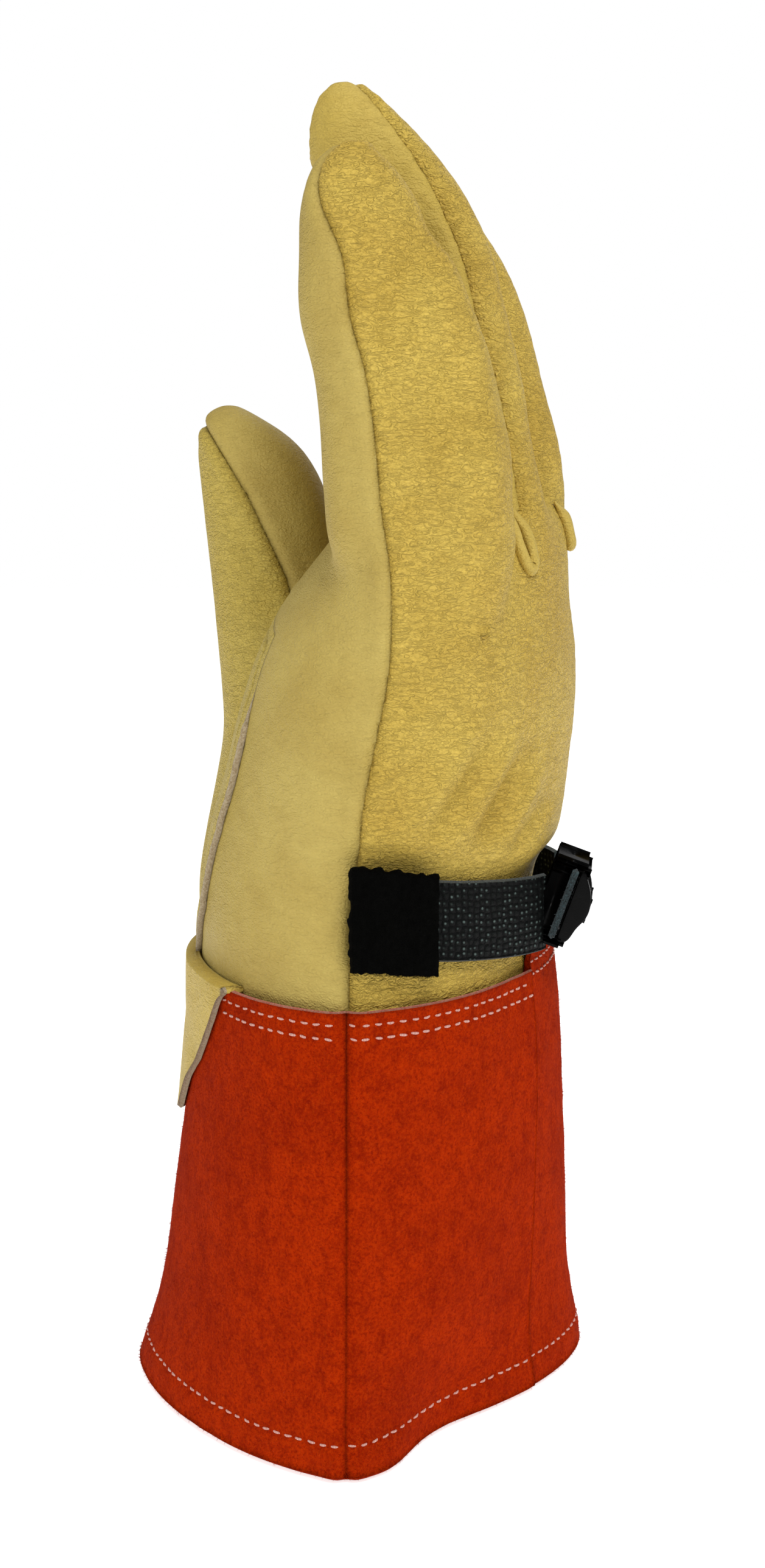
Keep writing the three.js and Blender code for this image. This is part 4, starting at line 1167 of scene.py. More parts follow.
def finished(tree, base, roughness, height, bump_distance, **sockets):
    shader = add(tree, "ShaderNodeBsdfPrincipled", None, {"Base Color": base, "Roughness": roughness})
    for key, value in sockets.items():
        shader.inputs[key.replace("_", " ")].default_value = value
    if height is not None:
        bump = add(tree, "ShaderNodeBump", None,
                   {"Height": height, "Distance": bump_distance, "Strength": 1.0})
        tree.links.new(bump.outputs[0], shader.inputs["Normal"])
    out = add(tree, "ShaderNodeOutputMaterial")
    tree.links.new(shader.outputs[0], out.inputs[0])


def seam_shade_of(tree, strength):
    # Painted shade of the seam grooves, read from the groove attribute
    amount = add(tree, "ShaderNodeAttribute", {"attribute_name": "groove"}).outputs["Fac"]
    return maths(tree, "MULTIPLY", amount, strength)


def leather_material(name, light, base, dark, grain, wrinkle):
    """Leather with fine cross wrinkles and pores, with painted shade in their hollows and in the seam
    grooves; grain and wrinkle say how strong they are.
    """
    material, tree, mm = started(name)
    broad = noise_of(tree, mm, 0.04, 3)
    patchy = noise_of(tree, stretched(tree, mm, (0.7, 0.7, 1.0)), 0.22, 4, 0.6)
    tone = mixed(tree, spread(tree, broad, 0.35, 0.65), colour(base), colour(light))
    tone = mixed(tree, spread(tree, patchy, 0.5, 0.72, 0.0, 0.2), tone, colour(dark))
    flat = stretched(tree, mm, (0.38, 0.38, 1.0))
    lines = noise_of(tree, flat, 1.05, 1.5, 0.5, 1.2)
    creases = spread(tree, maths(tree, "ABSOLUTE", maths(tree, "SUBTRACT", lines, 0.5), 0.0), 0.0, 0.055)
    cells = add(tree, "ShaderNodeTexVoronoi", {"feature": "DISTANCE_TO_EDGE"},
                {"Vector": stretched(tree, mm, (0.8, 0.8, 1.2)), "Scale": 1.3, "Randomness": 1.0})
    pores = spread(tree, cells.outputs["Distance"], 0.0, 0.3)
    fine = noise_of(tree, mm, 3.0, 3)
    # Painted shade in the crease lines and in the pores, where the bump dips
    faint = 0.26 * wrinkle
    crease_shade = maths(tree, "MULTIPLY", maths(tree, "SUBTRACT", 1.0, creases), faint)
    tone = mixed(tree, crease_shade, tone, colour(dark))
    pore_shade = maths(tree, "MULTIPLY", maths(tree, "SUBTRACT", 1.0, pores), 0.14 * grain)
    tone = mixed(tree, pore_shade, tone, colour(dark))
    tone = mixed(tree, spread(tree, fine, 0.35, 0.7, 0.0, 0.22), tone, colour(light))
    # Painted shade in the seam grooves
    deep = tuple(channel * 0.3 for channel in tuple(dark)[:3])
    tone = mixed(tree, seam_shade_of(tree, 0.85), tone, colour(deep))
    height = maths(tree, "MULTIPLY", pores, 0.4 * grain)
    height = maths(tree, "ADD", height, maths(tree, "MULTIPLY", lines, 3.6 * wrinkle))
    height = maths(tree, "ADD", height, maths(tree, "MULTIPLY", creases, 0.35 * wrinkle))
    height = maths(tree, "ADD", height, maths(tree, "MULTIPLY", fine, 0.25))
    height = maths(tree, "ADD", height, maths(tree, "MULTIPLY", noise_of(tree, mm, 0.4, 3), 0.9))
    rough = spread(tree, patchy, 0.2, 0.8, 0.5, 0.62)
    finished(tree, tone, rough, height, 0.0005, Specular_IOR_Level=0.22)
    return material


def raw_material(name, base, dark):
    material, tree, mm = started(name)
    fibres = noise_of(tree, mm, 2.2, 5, 0.7)
    tone = mixed(tree, spread(tree, fibres, 0.35, 0.65), colour(dark), colour(base))
    finished(tree, tone, 0.95, fibres, 0.0005, Specular_IOR_Level=0.1, Sheen_Weight=0.2)
    return material


def suede_material(name, base, dark, light):
    material, tree, mm = started(name)
    broad = noise_of(tree, mm, 0.05, 4, 0.6)
    patchy = noise_of(tree, stretched(tree, mm, (1, 1, 0.8)), 0.35, 5, 0.7)
    nap = noise_of(tree, mm, 1.5, 4, 0.7)
    fine = noise_of(tree, mm, 4.0, 3, 0.7)
    tone = mixed(tree, spread(tree, patchy, 0.44, 0.64, 0.0, 0.6), colour(base), colour(dark))
    tone = mixed(tree, spread(tree, broad, 0.45, 0.7, 0.0, 0.4), tone, colour(dark))
    tone = mixed(tree, spread(tree, nap, 0.5, 0.72, 0.0, 0.5), tone, colour(light))
    tone = mixed(tree, spread(tree, nap, 0.5, 0.32, 0.0, 0.8), tone, colour(dark))
    # Painted shade in the side-seam grooves
    deep = tuple(channel * 0.2 for channel in tuple(dark)[:3])
    tone = mixed(tree, seam_shade_of(tree, 0.75), tone, colour(deep))
    height = maths(tree, "ADD", maths(tree, "MULTIPLY", nap, 1.6), maths(tree, "MULTIPLY", fine, 0.5))
    finished(tree, tone, 0.95, height, 0.0006, Specular_IOR_Level=0.03, Sheen_Weight=0.06,
             Sheen_Roughness=0.6, Sheen_Tint=colour(light))
    return material


def webbing_material(name, base, light, dark):
    """Woven tufts in staggered rows along the band, with painted shade in the gaps between them and a painted
    highlight on the tips of a few.
    """
    material, tree, mm = started(name)
    along = add(tree, "ShaderNodeUVMap", {"uv_map": "along"}).outputs[0]
    bend = add(tree, "ShaderNodeTexNoise", None, {"Vector": mm, "Scale": 0.8}).outputs["Color"]
    wavy = mixed(tree, 0.25, along, bend, "ADD")
    cells = add(tree, "ShaderNodeTexVoronoi", {"feature": "F1"},
                {"Vector": stretched(tree, wavy, (0.52, 0.68, 1.0)), "Scale": 1.0, "Randomness": 0.35})
    # Painted shade in the gaps between the tufts, which the bump also lowers
    hollow = spread(tree, cells.outputs["Distance"], 0.22, 0.62)
    # Painted highlight on the tips of a few tufts
    tips = spread(tree, cells.outputs["Distance"], 0.26, 0.08)
    highlighted_tufts = spread(tree, noise_of(tree, cells.outputs["Position"], 3.7, 1), 0.42, 0.52)
    tone = mixed(tree, hollow, colour(base), colour(dark))
    tone = mixed(tree, maths(tree, "MULTIPLY", tips, highlighted_tufts), tone, colour(light))
    height = maths(tree, "SUBTRACT", maths(tree, "MULTIPLY", noise_of(tree, mm, 2.5, 3), 0.5), hollow)
    finished(tree, tone, 0.7, height, 0.0009, Specular_IOR_Level=0.1)
    return material


def felt_material(name, base, light):
    material, tree, mm = started(name)
    nap = noise_of(tree, mm, 1.4, 5, 0.75)
    lint = noise_of(tree, mm, 0.5, 3, 0.7)
    specks = spread(tree, maths(tree, "MULTIPLY", nap, lint), 0.36, 0.48, 0.0, 0.4)
    tone = mixed(tree, specks, colour(base), colour(light))
    finished(tree, tone, 1.0, nap, 0.0008, Specular_IOR_Level=0.05)
    return material


def plastic_material(name, base):
    material, tree, mm = started(name)
    cloud = noise_of(tree, mm, 0.5, 3)
    worn = noise_of(tree, mm, 2.4, 3)
    rough = spread(tree, cloud, 0.3, 0.7, 0.3, 0.42)
    tone = mixed(tree, spread(tree, worn, 0.55, 0.8, 0.0, 0.3), colour(base), colour((0.004, 0.004, 0.004)))
    finished(tree, tone, rough, worn, 0.00005, Specular_IOR_Level=0.08)
    return material


def thread_material(name, base, dark):
    material, tree, mm = started(name)
    twist = add(tree, "ShaderNodeTexWave", None, {"Vector": mm, "Scale": 0.9, "Distortion": 2.0})
    tone = mixed(tree, twist.outputs["Fac"], colour(dark), colour(base))
    finished(tree, tone, 0.7, twist.outputs["Fac"], 0.0001, Specular_IOR_Level=0.2)
    return material


# What one operator leaves for the next: surfaces that later pieces lie on, and shared materials
SURFACES = {}
FINISHES = {}


def tree_of(mesh):
    points, faces = arrays(mesh)
    return BVHTree.FromPolygons(points.tolist(), faces)


def finish_named(name, maker, *values):
    if name not in FINISHES:
        FINISHES[name] = maker(name, *values)
    return FINISHES[name]


def leathers(look):
    make = leather_material
    palm = finish_named("palm_leather", make, look.palm_light, look.palm, look.palm_dark, 0.5, 0.2)
    back = finish_named("back_leather", make, look.back_light, look.back, look.back_dark, 1.0, 1.0)
    thumb = finish_named("thumb_leather", make, look.thumb_light, look.thumb, look.thumb_dark, 0.9, 0.6)
    fork = finish_named("fork_leather", make, look.fork_light, look.fork, look.back_dark, 0.5, 0.25)
    raw = finish_named("raw_leather", raw_material, look.raw, look.raw_dark)
    return palm, back, thumb, raw, fork


def build_hand(look):
    palm, back, thumb, raw, fork = leathers(look)
    points, raised, faces, panel, seam_shade, thumb_seam_shade, edge = moved_hand()
    SURFACES["skin"] = BVHTree.FromPolygons(points.tolist(), faces)
    SURFACES["palm_edge"] = edge
    finishes = {
        "palm": (palm, "palm_leather"),
        "back": (back, "back_leather"),
        "thumb_front": (palm, "palm_leather"),
        "thumb_back": (thumb, "thumb_leather"),
    }
    for which, name in enumerate(PANELS):
        material, slot = finishes.get(name, (fork, "palm_leather"))
        own = name == "thumb_back"
        places, seam_shades = (raised, thumb_seam_shade) if own else (points, seam_shade)
        mesh = panel_mesh(name, places, faces, panel, which, seam_shades, look.thickness * 1000)
        finish_piece(name + "_leather", mesh, (material, raw), (name,))


def swept(name, path, frames, profile, closed=False, scales=None):
    """A closed tube whose profile (a, b) pairs stand on each path point's two side directions."""
    rows, columns = len(path), len(profile)
    scales = np.ones(rows) if scales is None else scales
    grid = np.array([[point + (aside * a + out * b) * scale for a, b in profile]
                     for point, (aside, out), scale in zip(path, frames, scales)])
    if closed:
        flat = grid.reshape(-1, 3)
        faces = grid_faces(rows, columns, True)
        faces += [((rows - 1) * columns + column, (rows - 1) * columns + (column + 1) % columns,
                   (column + 1) % columns, column) for column in range(columns)]
        return plain_mesh(name, flat, faces)
    return plain_mesh(name, *capped(grid))


def round_profile(half_wide, half_high, sides, rise=0.0):
    turns = np.linspace(0, 2 * math.pi, sides, endpoint=False)
    return [(half_wide * math.cos(turn), rise + half_high * math.sin(turn)) for turn in turns]


def build_palm_edge(look):
    raw = leathers(look)[3]
    points, normals = SURFACES["palm_edge"]
    heights = np.linspace(PALM_EDGE_FOOT + 0.5, PALM_EDGE_TOP - 0.5, 150)
    path = np.array([[np.interp(z, points[:, 2], points[:, axis]) for axis in range(3)] for z in heights])
    outs = np.array([[np.interp(z, points[:, 2], normals[:, axis]) for axis in range(3)] for z in heights])
    kernel = np.hanning(9)
    kernel /= kernel.sum()
    for values in (path, outs):
        for axis in range(3):
            padded = np.pad(values[:, axis], 4, mode="edge")
            values[:, axis] = np.convolve(padded, kernel, mode="valid")
    frames = []
    ripple = waves(path, 2.2, 21)
    for index, point in enumerate(path):
        ahead = path[min(index + 1, len(path) - 1)] - path[max(index - 1, 0)]
        ahead /= np.linalg.norm(ahead)
        out = outs[index] - ahead * (outs[index] @ ahead)
        out /= np.linalg.norm(out)
        frames.append((np.cross(ahead, out), out))
        path[index] = point + out * 0.15 * ripple[index]
    mesh = swept("palm_edge", path, frames, round_profile(0.4, 0.85, 10, -0.75))
    finish_piece("palm_raw_edge", mesh, (raw,))


DART_HALF_WIDTH = 2.2
DART_ROLL = 1.75
DART_STAND = 0.7
DART_FAR_STAND = 0.9


def build_darts(look):
    back = leathers(look)[4]
    for name, across, foot, head in DARTS:
        foot, head = foot * GLOVE_HEIGHT, head * GLOVE_HEIGHT
        turns = np.linspace(-math.pi, math.pi, 72, endpoint=False)
        taper = 0.62 - 0.38 * np.cos(turns)
        y = across - DART_HALF_WIDTH * np.sin(turns) * taper
        z = (foot + head) / 2 + (head - foot) / 2 * np.cos(turns)
        starts = np.stack((np.full(len(y), 50.0), y, z), axis=1)
        places, _ = hung(SURFACES["skin"], starts, np.tile((-1.0, 0, 0), (len(y), 1)))
        stand = DART_STAND if across < -10 else DART_FAR_STAND
        path = places + np.array((stand, 0, 0))
        for _ in range(6):
            path[:, 0] = (np.roll(path[:, 0], 1) + np.roll(path[:, 0], -1) + 2 * path[:, 0]) / 4
        frames = []
        for index in range(len(path)):
            ahead = path[(index + 1) % len(path)] - path[index - 1]
            ahead /= np.linalg.norm(ahead)
            out = np.array((1.0, 0, 0)) - ahead * ahead[0]
            out /= np.linalg.norm(out)
            frames.append((np.cross(ahead, out), out))
        scales = 1.05 - 0.75 * smooth(foot + 6, head, path[:, 2]) + 0.1 * waves(path, 3, 61)
        mesh = swept(name, path, frames, round_profile(DART_ROLL, DART_ROLL * 0.75, 14), True, scales)
        finish_piece(name + "_roll", mesh, (back,), (name,))


def suedes(look):
    hide = finish_named("orange_suede", suede_material, look.suede, look.suede_dark, look.suede_light)
    raw = finish_named("raw_suede", raw_material, look.suede_raw, look.suede)
    thread = finish_named("thread", thread_material, look.thread, look.thread_dark)
    return hide, raw, thread


def build_cuff(look):
    hide, raw, _ = suedes(look)
    for name, (outer, seam_gap) in cuff_meshes().items():
        rows = len(outer)
        taper = 1 - (1 - TOP_THICKNESS) * smooth(0.93, 1, np.linspace(0, 1, rows))
        mesh = thick_sheet(name, outer, look.thickness * 1000, taper=taper, cut=(rows - 1, rows))
        # Painted shade near each part's seam edges
        note_seam_shade(mesh, np.clip(1 - seam_gap / 0.8, 0, 1).ravel())
        SURFACES[name] = tree_of(mesh)
        SURFACES[name + "_grid"] = outer
        finish_piece(name + "_suede", mesh, (hide, raw), (name,))


NAP_COUNT = 26000
NAP_LENGTH = 0.8


def build_nap(look):
    """Short fibres all over the cuff, thicker along its lower edge."""
    hide = suedes(look)[0]
    maker = np.random.default_rng(17)
    roots, ways = [], []
    for name, share in (("cuff_palm", 0.5), ("cuff_back_ulnar", 0.2), ("cuff_back_radial", 0.3)):
        outer = SURFACES[name + "_grid"]
        out = np.cross(np.gradient(outer, axis=1), np.gradient(outer, axis=0))
        out /= np.maximum(np.linalg.norm(out, axis=-1, keepdims=True), 1e-9)
        rows, columns = outer.shape[:2]
        count = int(NAP_COUNT * share)
        row = maker.integers(0, rows - 1, count)
        row[:count // 8] = 0
        column = maker.integers(0, columns - 1, count)
        across, rise = maker.uniform(0, 1, (2, count, 1))
        low = outer[row, column] * (1 - across) + outer[row, column + 1] * across
        high = outer[row + 1, column] * (1 - across) + outer[row + 1, column + 1] * across
        normal = out[row, column]
        roots.append(low * (1 - rise) + high * rise - normal * 0.15)
        ways.append(normal * 0.6 + maker.normal(0, 0.5, (count, 3)) + (0, 0, -0.25))
    mesh = fibre_mesh("nap", np.concatenate(roots), np.concatenate(ways), NAP_LENGTH, 0.13, 18, 0.8)
    finish_piece("cuff_nap", mesh, (hide,), shade=False)


def cuff_rows():
    """The lines of stitching: height of the line below each part's own top, or above the hem."""
    half = math.pi / 2
    rows = []
    for name, start, end, top in (("cuff_palm", half + 0.02, 3 * half - 0.01, CUFF_HEIGHT),
                                  ("cuff_back_ulnar", -half + 0.01, -0.3, CUFF_HEIGHT),
                                  ("cuff_back_radial", -0.72, half - 0.02, CUFF_HEIGHT + CUFF_BACK_STEP)):
        for drop in TOP_ROWS:
            rows.append((name, start, end, top - drop))
        rows.append((name, start, end, HEM_ROW))
    return rows


def build_stitches(look):
    thread = suedes(look)[2]
    meshes = []
    for index, (name, start, end, z) in enumerate(cuff_rows()):
        turns = np.linspace(start, end, 260)
        starts = cuff_point(np.full(len(turns), z), turns, 0)
        ahead = np.gradient(starts, axis=0)
        inward = np.stack((-ahead[:, 1], ahead[:, 0], np.zeros(len(turns))), axis=1)
        inward /= np.maximum(np.linalg.norm(inward, axis=1, keepdims=True), 1e-9)
        places, normals = hung(SURFACES[name], starts, inward)
        if name == "cuff_palm" and z > HEM_ROW:
            covered = np.abs(places[:, 1] - 0) < 0.62 * HALF_BREADTH
            for part in (places[:, 1] > 0, places[:, 1] < 0):
                keep = ~covered & part
                meshes.append(stitch_mesh("row", places[keep], normals[keep], 3.0, 2.2, 0.26, index))
            continue
        meshes.append(stitch_mesh("row", places, normals, 3.0, 2.2, 0.26, index))
    finish_piece("cuff_stitches", merged("stitches", meshes), (thread,))


def merged(name, meshes):
    return plain_mesh(name, *joined([arrays(mesh) for mesh in meshes]))


def build_patch(look, hand_look):
    _, _, _, raw, back = leathers(hand_look)
    outer = patch_grid()
    fine = waves(outer.reshape(-1, 3), 9, 31).reshape(outer.shape[:2])
    outer = outer - np.array((1.0, 0, 0)) * (0.3 * fine)[..., None]
    mesh = thick_sheet("vein_patch", outer, PATCH_THICKNESS, cut=(0, PATCH_ROWS + 3))
    finish_piece("vein_patch_leather", mesh, (back, raw), ("vein_patch",))


def strap_finishes(look):
    web = finish_named("black_webbing", webbing_material, look.webbing, look.webbing_highlight, look.webbing_gap_shade)
    felt = finish_named("black_felt", felt_material, look.felt, look.felt_light)
    plastic = finish_named("black_plastic", plastic_material, look.plastic)
    cut = finish_named("cut_webbing", raw_material, look.webbing_cut, look.webbing)
    return web, felt, plastic, cut


def webbing_band(name, start, end, steps, lift, height, look, crown=0.25):
    web, _, _, cut = strap_finishes(look)
    columns = 15
    points, out = band_grid(start, end, steps, lift, look.webbing_thickness * 1000, height, columns)
    points[..., 2] -= STRAP_DROP
    bulge = crown * (1 - np.linspace(-1, 1, columns) ** 2)
    soft = 0.25 * waves(points.reshape(-1, 3), 14, 41).reshape(points.shape[:2])
    points = points + out[:, None, :] * (bulge + soft)[..., None]
    mesh = thick_sheet(name, points, look.webbing_thickness * 1000)
    lengths = np.linalg.norm(np.diff(points[:, columns // 2], axis=0), axis=1)
    add_uv(mesh, steps, columns, float(lengths.sum()), height)
    return mesh, web, cut


def build_strap(look):
    mesh, web, cut = webbing_band("strap", STRAP_FROM, STRAP_TO, 90, STRAP_LIFT, STRAP_WIDTH, look)
    finish_piece("strap_webbing", mesh, (web, cut), ("strap",))
    mesh, web, cut = webbing_band("strap_anchor", ANCHOR_FROM, ANCHOR_TO, 90, ANCHOR_LIFT, STRAP_WIDTH, look)
    finish_piece("strap_anchor_webbing", mesh, (web, cut), ("strap_anchor",))


FELT_THICKNESS = 2.6


def build_felt(look):
    felt = strap_finishes(look)[1]
    lift = STRAP_LIFT + look.webbing_thickness * 1000 + GAP
    points, out = band_grid(PATCH_FROM, PATCH_TO, 70, lift, FELT_THICKNESS, FELT_HEIGHT, 50)
    points[..., 2] -= FELT_DROP
    flat = points.reshape(-1, 3)
    lumps = (0.35 * waves(flat, 1.6, 51) + 0.4 * waves(flat, 6, 52)).reshape(points.shape[:2])
    points = points + out[:, None, :] * lumps[..., None]
    edge = 0.45 * waves(points[:, 0], 3.0, 53)
    points[:, :3, 2] += edge[:, None]
    edge = 0.6 * waves(points[:, -1], 2.5, 54)
    points[:, -3:, 2] += edge[:, None]
    mesh = thick_sheet("strap_patch", points, FELT_THICKNESS, round_edge=0.2)
    finish_piece("strap_patch_felt", mesh, (felt, felt), ("strap_patch",))
    maker = np.random.default_rng(5)
    roots, ways = [], []
    for _ in range(4200):
        row, column = maker.integers(0, points.shape[0]), maker.integers(0, points.shape[1])
        roots.append(points[row, column] + maker.normal(0, 0.15, 3) - out[row] * 0.3)
        ways.append(out[row] + maker.normal(0, 0.6, 3))
    for _ in range(1600):
        row = maker.integers(0, points.shape[0])
        low = maker.uniform() < 0.75
        column = -1 if low else 0
        roots.append(points[row, column] - out[row] * maker.uniform(0, FELT_THICKNESS))
        ways.append(np.array((0, 0, -1.0 if low else 1.0)) + maker.normal(0, 0.45, 3))
    fuzz = fibre_mesh("felt_fuzz", roots, ways, 0.9, 0.07, 6)
    finish_piece("strap_patch_fuzz", fuzz, (felt,), shade=False)


def build_slide(look):
    web, _, plastic, cut = strap_finishes(look)
    finish_piece("slide", slide_mesh(), (plastic,), ("buckle",))
    at, along, out, up = slide_frame()
    far = SLIDE_THICKNESS + GAP + WEBBING
    runs = np.linspace(-SLIDE_LENGTH / 2 - 1.2, SLIDE_FOLD, 30)
    levels = np.linspace(TAIL_WIDTH / 2, -TAIL_WIDTH / 2, 15)
    points = np.array([[at + along * run + out * far + up * level for level in levels] for run in runs])
    mesh = thick_sheet("strap_end", points, WEBBING)
    add_uv(mesh, 30, 15, 16.0, TAIL_WIDTH)
    finish_piece("strap_end_webbing", mesh, (web, cut), ("strap_end",))
    maker = np.random.default_rng(8)
    roots, ways = [], []
    for _ in range(260):
        level = maker.uniform(-TAIL_WIDTH / 2, TAIL_WIDTH / 2)
        roots.append(at + along * runs[0] + out * (far - maker.uniform(0, WEBBING)) + up * level)
        ways.append(-along + out * maker.normal(-0.3, 0.5) + up * maker.normal(0, 0.3))
    tufts = fibre_mesh("cut_tufts", roots, ways, 0.7, 0.22, 9, 0.3)
    finish_piece("strap_end_tufts", tufts, (cut,), shade=False)


def build_stage(look):
    scene = bpy.context.scene
    world = bpy.data.worlds.new("studio")
    world.use_nodes = True
    tree = world.node_tree
    tree.nodes.clear()
    seen = add(tree, "ShaderNodeLightPath").outputs["Is Camera Ray"]
    white = add(tree, "ShaderNodeBackground", None, {"Color": (1, 1, 1, 1), "Strength": 1.0})
    soft = add(tree, "ShaderNodeBackground", None, {"Color": (1, 1, 1, 1), "Strength": look.surround})
    both = add(tree, "ShaderNodeMixShader", None, {0: seen, 1: soft.outputs[0], 2: white.outputs[0]})
    add(tree, "ShaderNodeOutputWorld", None, {"Surface": both.outputs[0]})
    scene.world = world
    scene.view_settings.view_transform = "Standard"
    scene.view_settings.look = "None"
    centre = Vector(SHIFT / 1000)
    camera_data = bpy.data.cameras.new("camera")
    camera_data.lens = look.lens
    camera_data.sensor_width = 36
    camera_data.clip_start = 0.01
    camera = bpy.data.objects.new("camera", camera_data)
    camera.location = centre + Vector((0.0065, -0.478, 0.2246))
    camera.rotation_euler = (math.radians(90 - 9.3), 0, 0)
    scene.collection.objects.link(camera)
    scene.camera = camera
    for name, place, size, power_, tint in (
            ("key", (0.3, -0.7, 1.35), 0.7, look.key, (1, 1, 1)),
            ("fill", (-1.0, -0.7, 0.55), 0.8, look.fill, (1, 1, 1)),
            ("rim", (0.2, 0.9, 0.7), 0.6, look.rim, (1, 1, 1))):
        data = bpy.data.lights.new(name, "AREA")
        data.shape = "DISK"
        data.size = size
        data.energy = power_
        data.color = tint
        light = bpy.data.objects.new(name, data)
        light.location = place
        light.rotation_euler = (Vector((0, 0, 0.15)) - Vector(place)).to_track_quat("-Z", "Y").to_euler()
        scene.collection.objects.link(light)
    work = bmesh.new()
    bmesh.ops.create_grid(work, x_segments=8, y_segments=8, size=3)
    mesh = bpy.data.meshes.new("floor")
    work.to_mesh(mesh)
    work.free()
    floor = bpy.data.objects.new("floor", mesh)
    floor.location = (0, 0, -0.0005)
    material, tree, mm = started("pale_floor")
    tone = mixed(tree, noise_of(tree, mm, 0.01, 2), colour(look.floor), (1, 1, 1, 1))
    finished(tree, tone, 0.9, None, 0, Specular_IOR_Level=0.0, Emission_Color=(1, 1, 1, 1),
             Emission_Strength=look.floor_glow)
    mesh.materials.append(material)
    scene.collection.objects.link(floor)


# Settings, operators and panel
def linear(red, green, blue):
    """A screen colour, 0 to 255, as the linear numbers that materials take."""
    def channel(value):
        if value > 10.3:
            return round(((value / 255 + 0.055) / 1.055) ** 2.4, 4)
        return round(value / 255 / 12.92, 4)
    return tuple(channel(value) for value in (red, green, blue))


def tint(name, description, red, green, blue):
    return FloatVectorProperty(name=name, description=description, subtype="COLOR", size=3, min=0, max=1,
                               default=linear(red, green, blue))


def size_in_metres(name, description, millimetres):
    return FloatProperty(name=name, description=description, default=millimetres / 1000, min=0.0002, max=0.01,
                         unit="LENGTH", subtype="DISTANCE", precision=4)


class GloveHandSettings(bpy.types.PropertyGroup):
    """Leather of the hand."""
    thickness: size_in_metres("Thickness", "Thickness of the leather", 1.6)
    palm: tint("Palm", "Main colour of the palm's leather", 176, 152, 76)
    palm_light: tint("Palm, light", "Lighter patches of the palm's leather", 190, 168, 90)
    # The dark colours also give the painted shade in the leather's creases, pores and seam grooves
    palm_dark: tint("Palm, dark", "Lines and pores of the palm's leather", 146, 122, 52)
    back: tint("Back", "Main colour of the back's leather", 198, 165, 69)
    back_light: tint("Back, light", "Lighter patches of the back's leather", 213, 183, 84)
    back_dark: tint("Back, dark", "Wrinkles of the back's leather", 150, 118, 34)
    fork: tint("Between fingers", "Main colour of the leather between the fingers", 186, 160, 72)
    fork_light: tint("Between fingers, light", "Its lighter patches", 198, 172, 86)
    thumb: tint("Thumb", "Main colour of the thumb's leather", 197, 172, 78)
    thumb_light: tint("Thumb, light", "Lighter patches of the thumb's leather", 204, 180, 88)
    thumb_dark: tint("Thumb, dark", "Lines and pores of the thumb's leather", 132, 108, 38)
    raw: tint("Cut edge", "Fibres of a cut edge", 196, 180, 150)
    raw_dark: tint("Cut edge, dark", "Shadow between the fibres of a cut edge", 150, 128, 92)


class GloveCuffSettings(bpy.types.PropertyGroup):
    """Suede and thread of the cuff."""
    thickness: size_in_metres("Thickness", "Thickness of the suede", 2.2)
    suede: tint("Suede", "Main colour of the suede", 190, 48, 1)
    # Suede, dark is also the base of the painted shade in the side-seam grooves
    suede_dark: tint("Suede, dark", "Colour where the nap lies down", 138, 22, 1)
    suede_light: tint("Suede, light", "Colour of the raised nap", 208, 68, 6)
    suede_raw: tint("Cut edge", "Fibres of the cuff's cut edge", 206, 140, 112)
    thread: tint("Thread", "Colour of the thread", 226, 186, 176)
    thread_dark: tint("Thread, dark", "Shadow in the twist of the thread", 190, 120, 105)


class GloveStrapSettings(bpy.types.PropertyGroup):
    """Webbing, felt and slide."""
    webbing_thickness: size_in_metres("Webbing", "Thickness of the webbing", 1.5)
    webbing: tint("Webbing", "Main colour of the webbing", 7, 11, 9)
    # Painted highlight on a few tufts' tips, and painted shade in the gaps between the tufts
    webbing_highlight: tint("Webbing, light", "Worn colour of the webbing's tufts", 84, 98, 94)
    webbing_gap_shade: tint("Webbing, dark", "Gaps between the tufts", 0, 1, 1)
    webbing_cut: tint("Webbing, cut", "Cords at the webbing's cut end", 62, 80, 84)
    felt: tint("Felt", "Colour of the felt", 3, 3, 2)
    felt_light: tint("Felt, light", "Lint in the felt", 22, 23, 22)
    plastic: tint("Plastic", "Colour of the slide", 3, 3, 3)


class GloveStageSettings(bpy.types.PropertyGroup):
    """Light, floor and camera."""
    surround: FloatProperty(
        name="Surround", description="Strength of the white surround",
        default=0.38, min=0, max=5,
    )
    key: FloatProperty(
        name="Key", description="Power of the main light",
        default=13.5, min=0, max=200, unit="POWER",
    )
    fill: FloatProperty(
        name="Fill", description="Power of the fill light",
        default=1.7, min=0, max=200, unit="POWER",
    )
    rim: FloatProperty(
        name="Rim", description="Power of the light behind",
        default=1.0, min=0, max=200, unit="POWER",
    )
    floor: tint("Floor", "Colour of the floor", 250, 250, 250)
    floor_glow: FloatProperty(
        name="Floor glow", description="Light that keeps the floor pale",
        default=0.72, min=0, max=2,
    )
    lens: FloatProperty(name="Lens", description="Focal length of the camera", default=45.84, min=10, max=200,
                        unit="CAMERA", subtype="DISTANCE_CAMERA")


class GLOVE_OT_stage(bpy.types.Operator):
    """Sets up the floor, the soft light and the camera"""
    bl_idname = "glove.stage"
    bl_label = "Stage"

    def execute(self, context):
        build_stage(context.scene.glove_stage)
        return {"FINISHED"}


class GLOVE_OT_hand(bpy.types.Operator):
    """Builds the leather of the palm, back, fingers and thumb"""
    bl_idname = "glove.hand"
    bl_label = "Hand leather"

    def execute(self, context):
        build_hand(context.scene.glove_hand)
        build_palm_edge(context.scene.glove_hand)
        return {"FINISHED"}


class GLOVE_OT_darts(bpy.types.Operator):
    """Builds the raised hairpins at the knuckles"""
    bl_idname = "glove.darts"
    bl_label = "Knuckle darts"

    def execute(self, context):
        build_darts(context.scene.glove_hand)
        return {"FINISHED"}


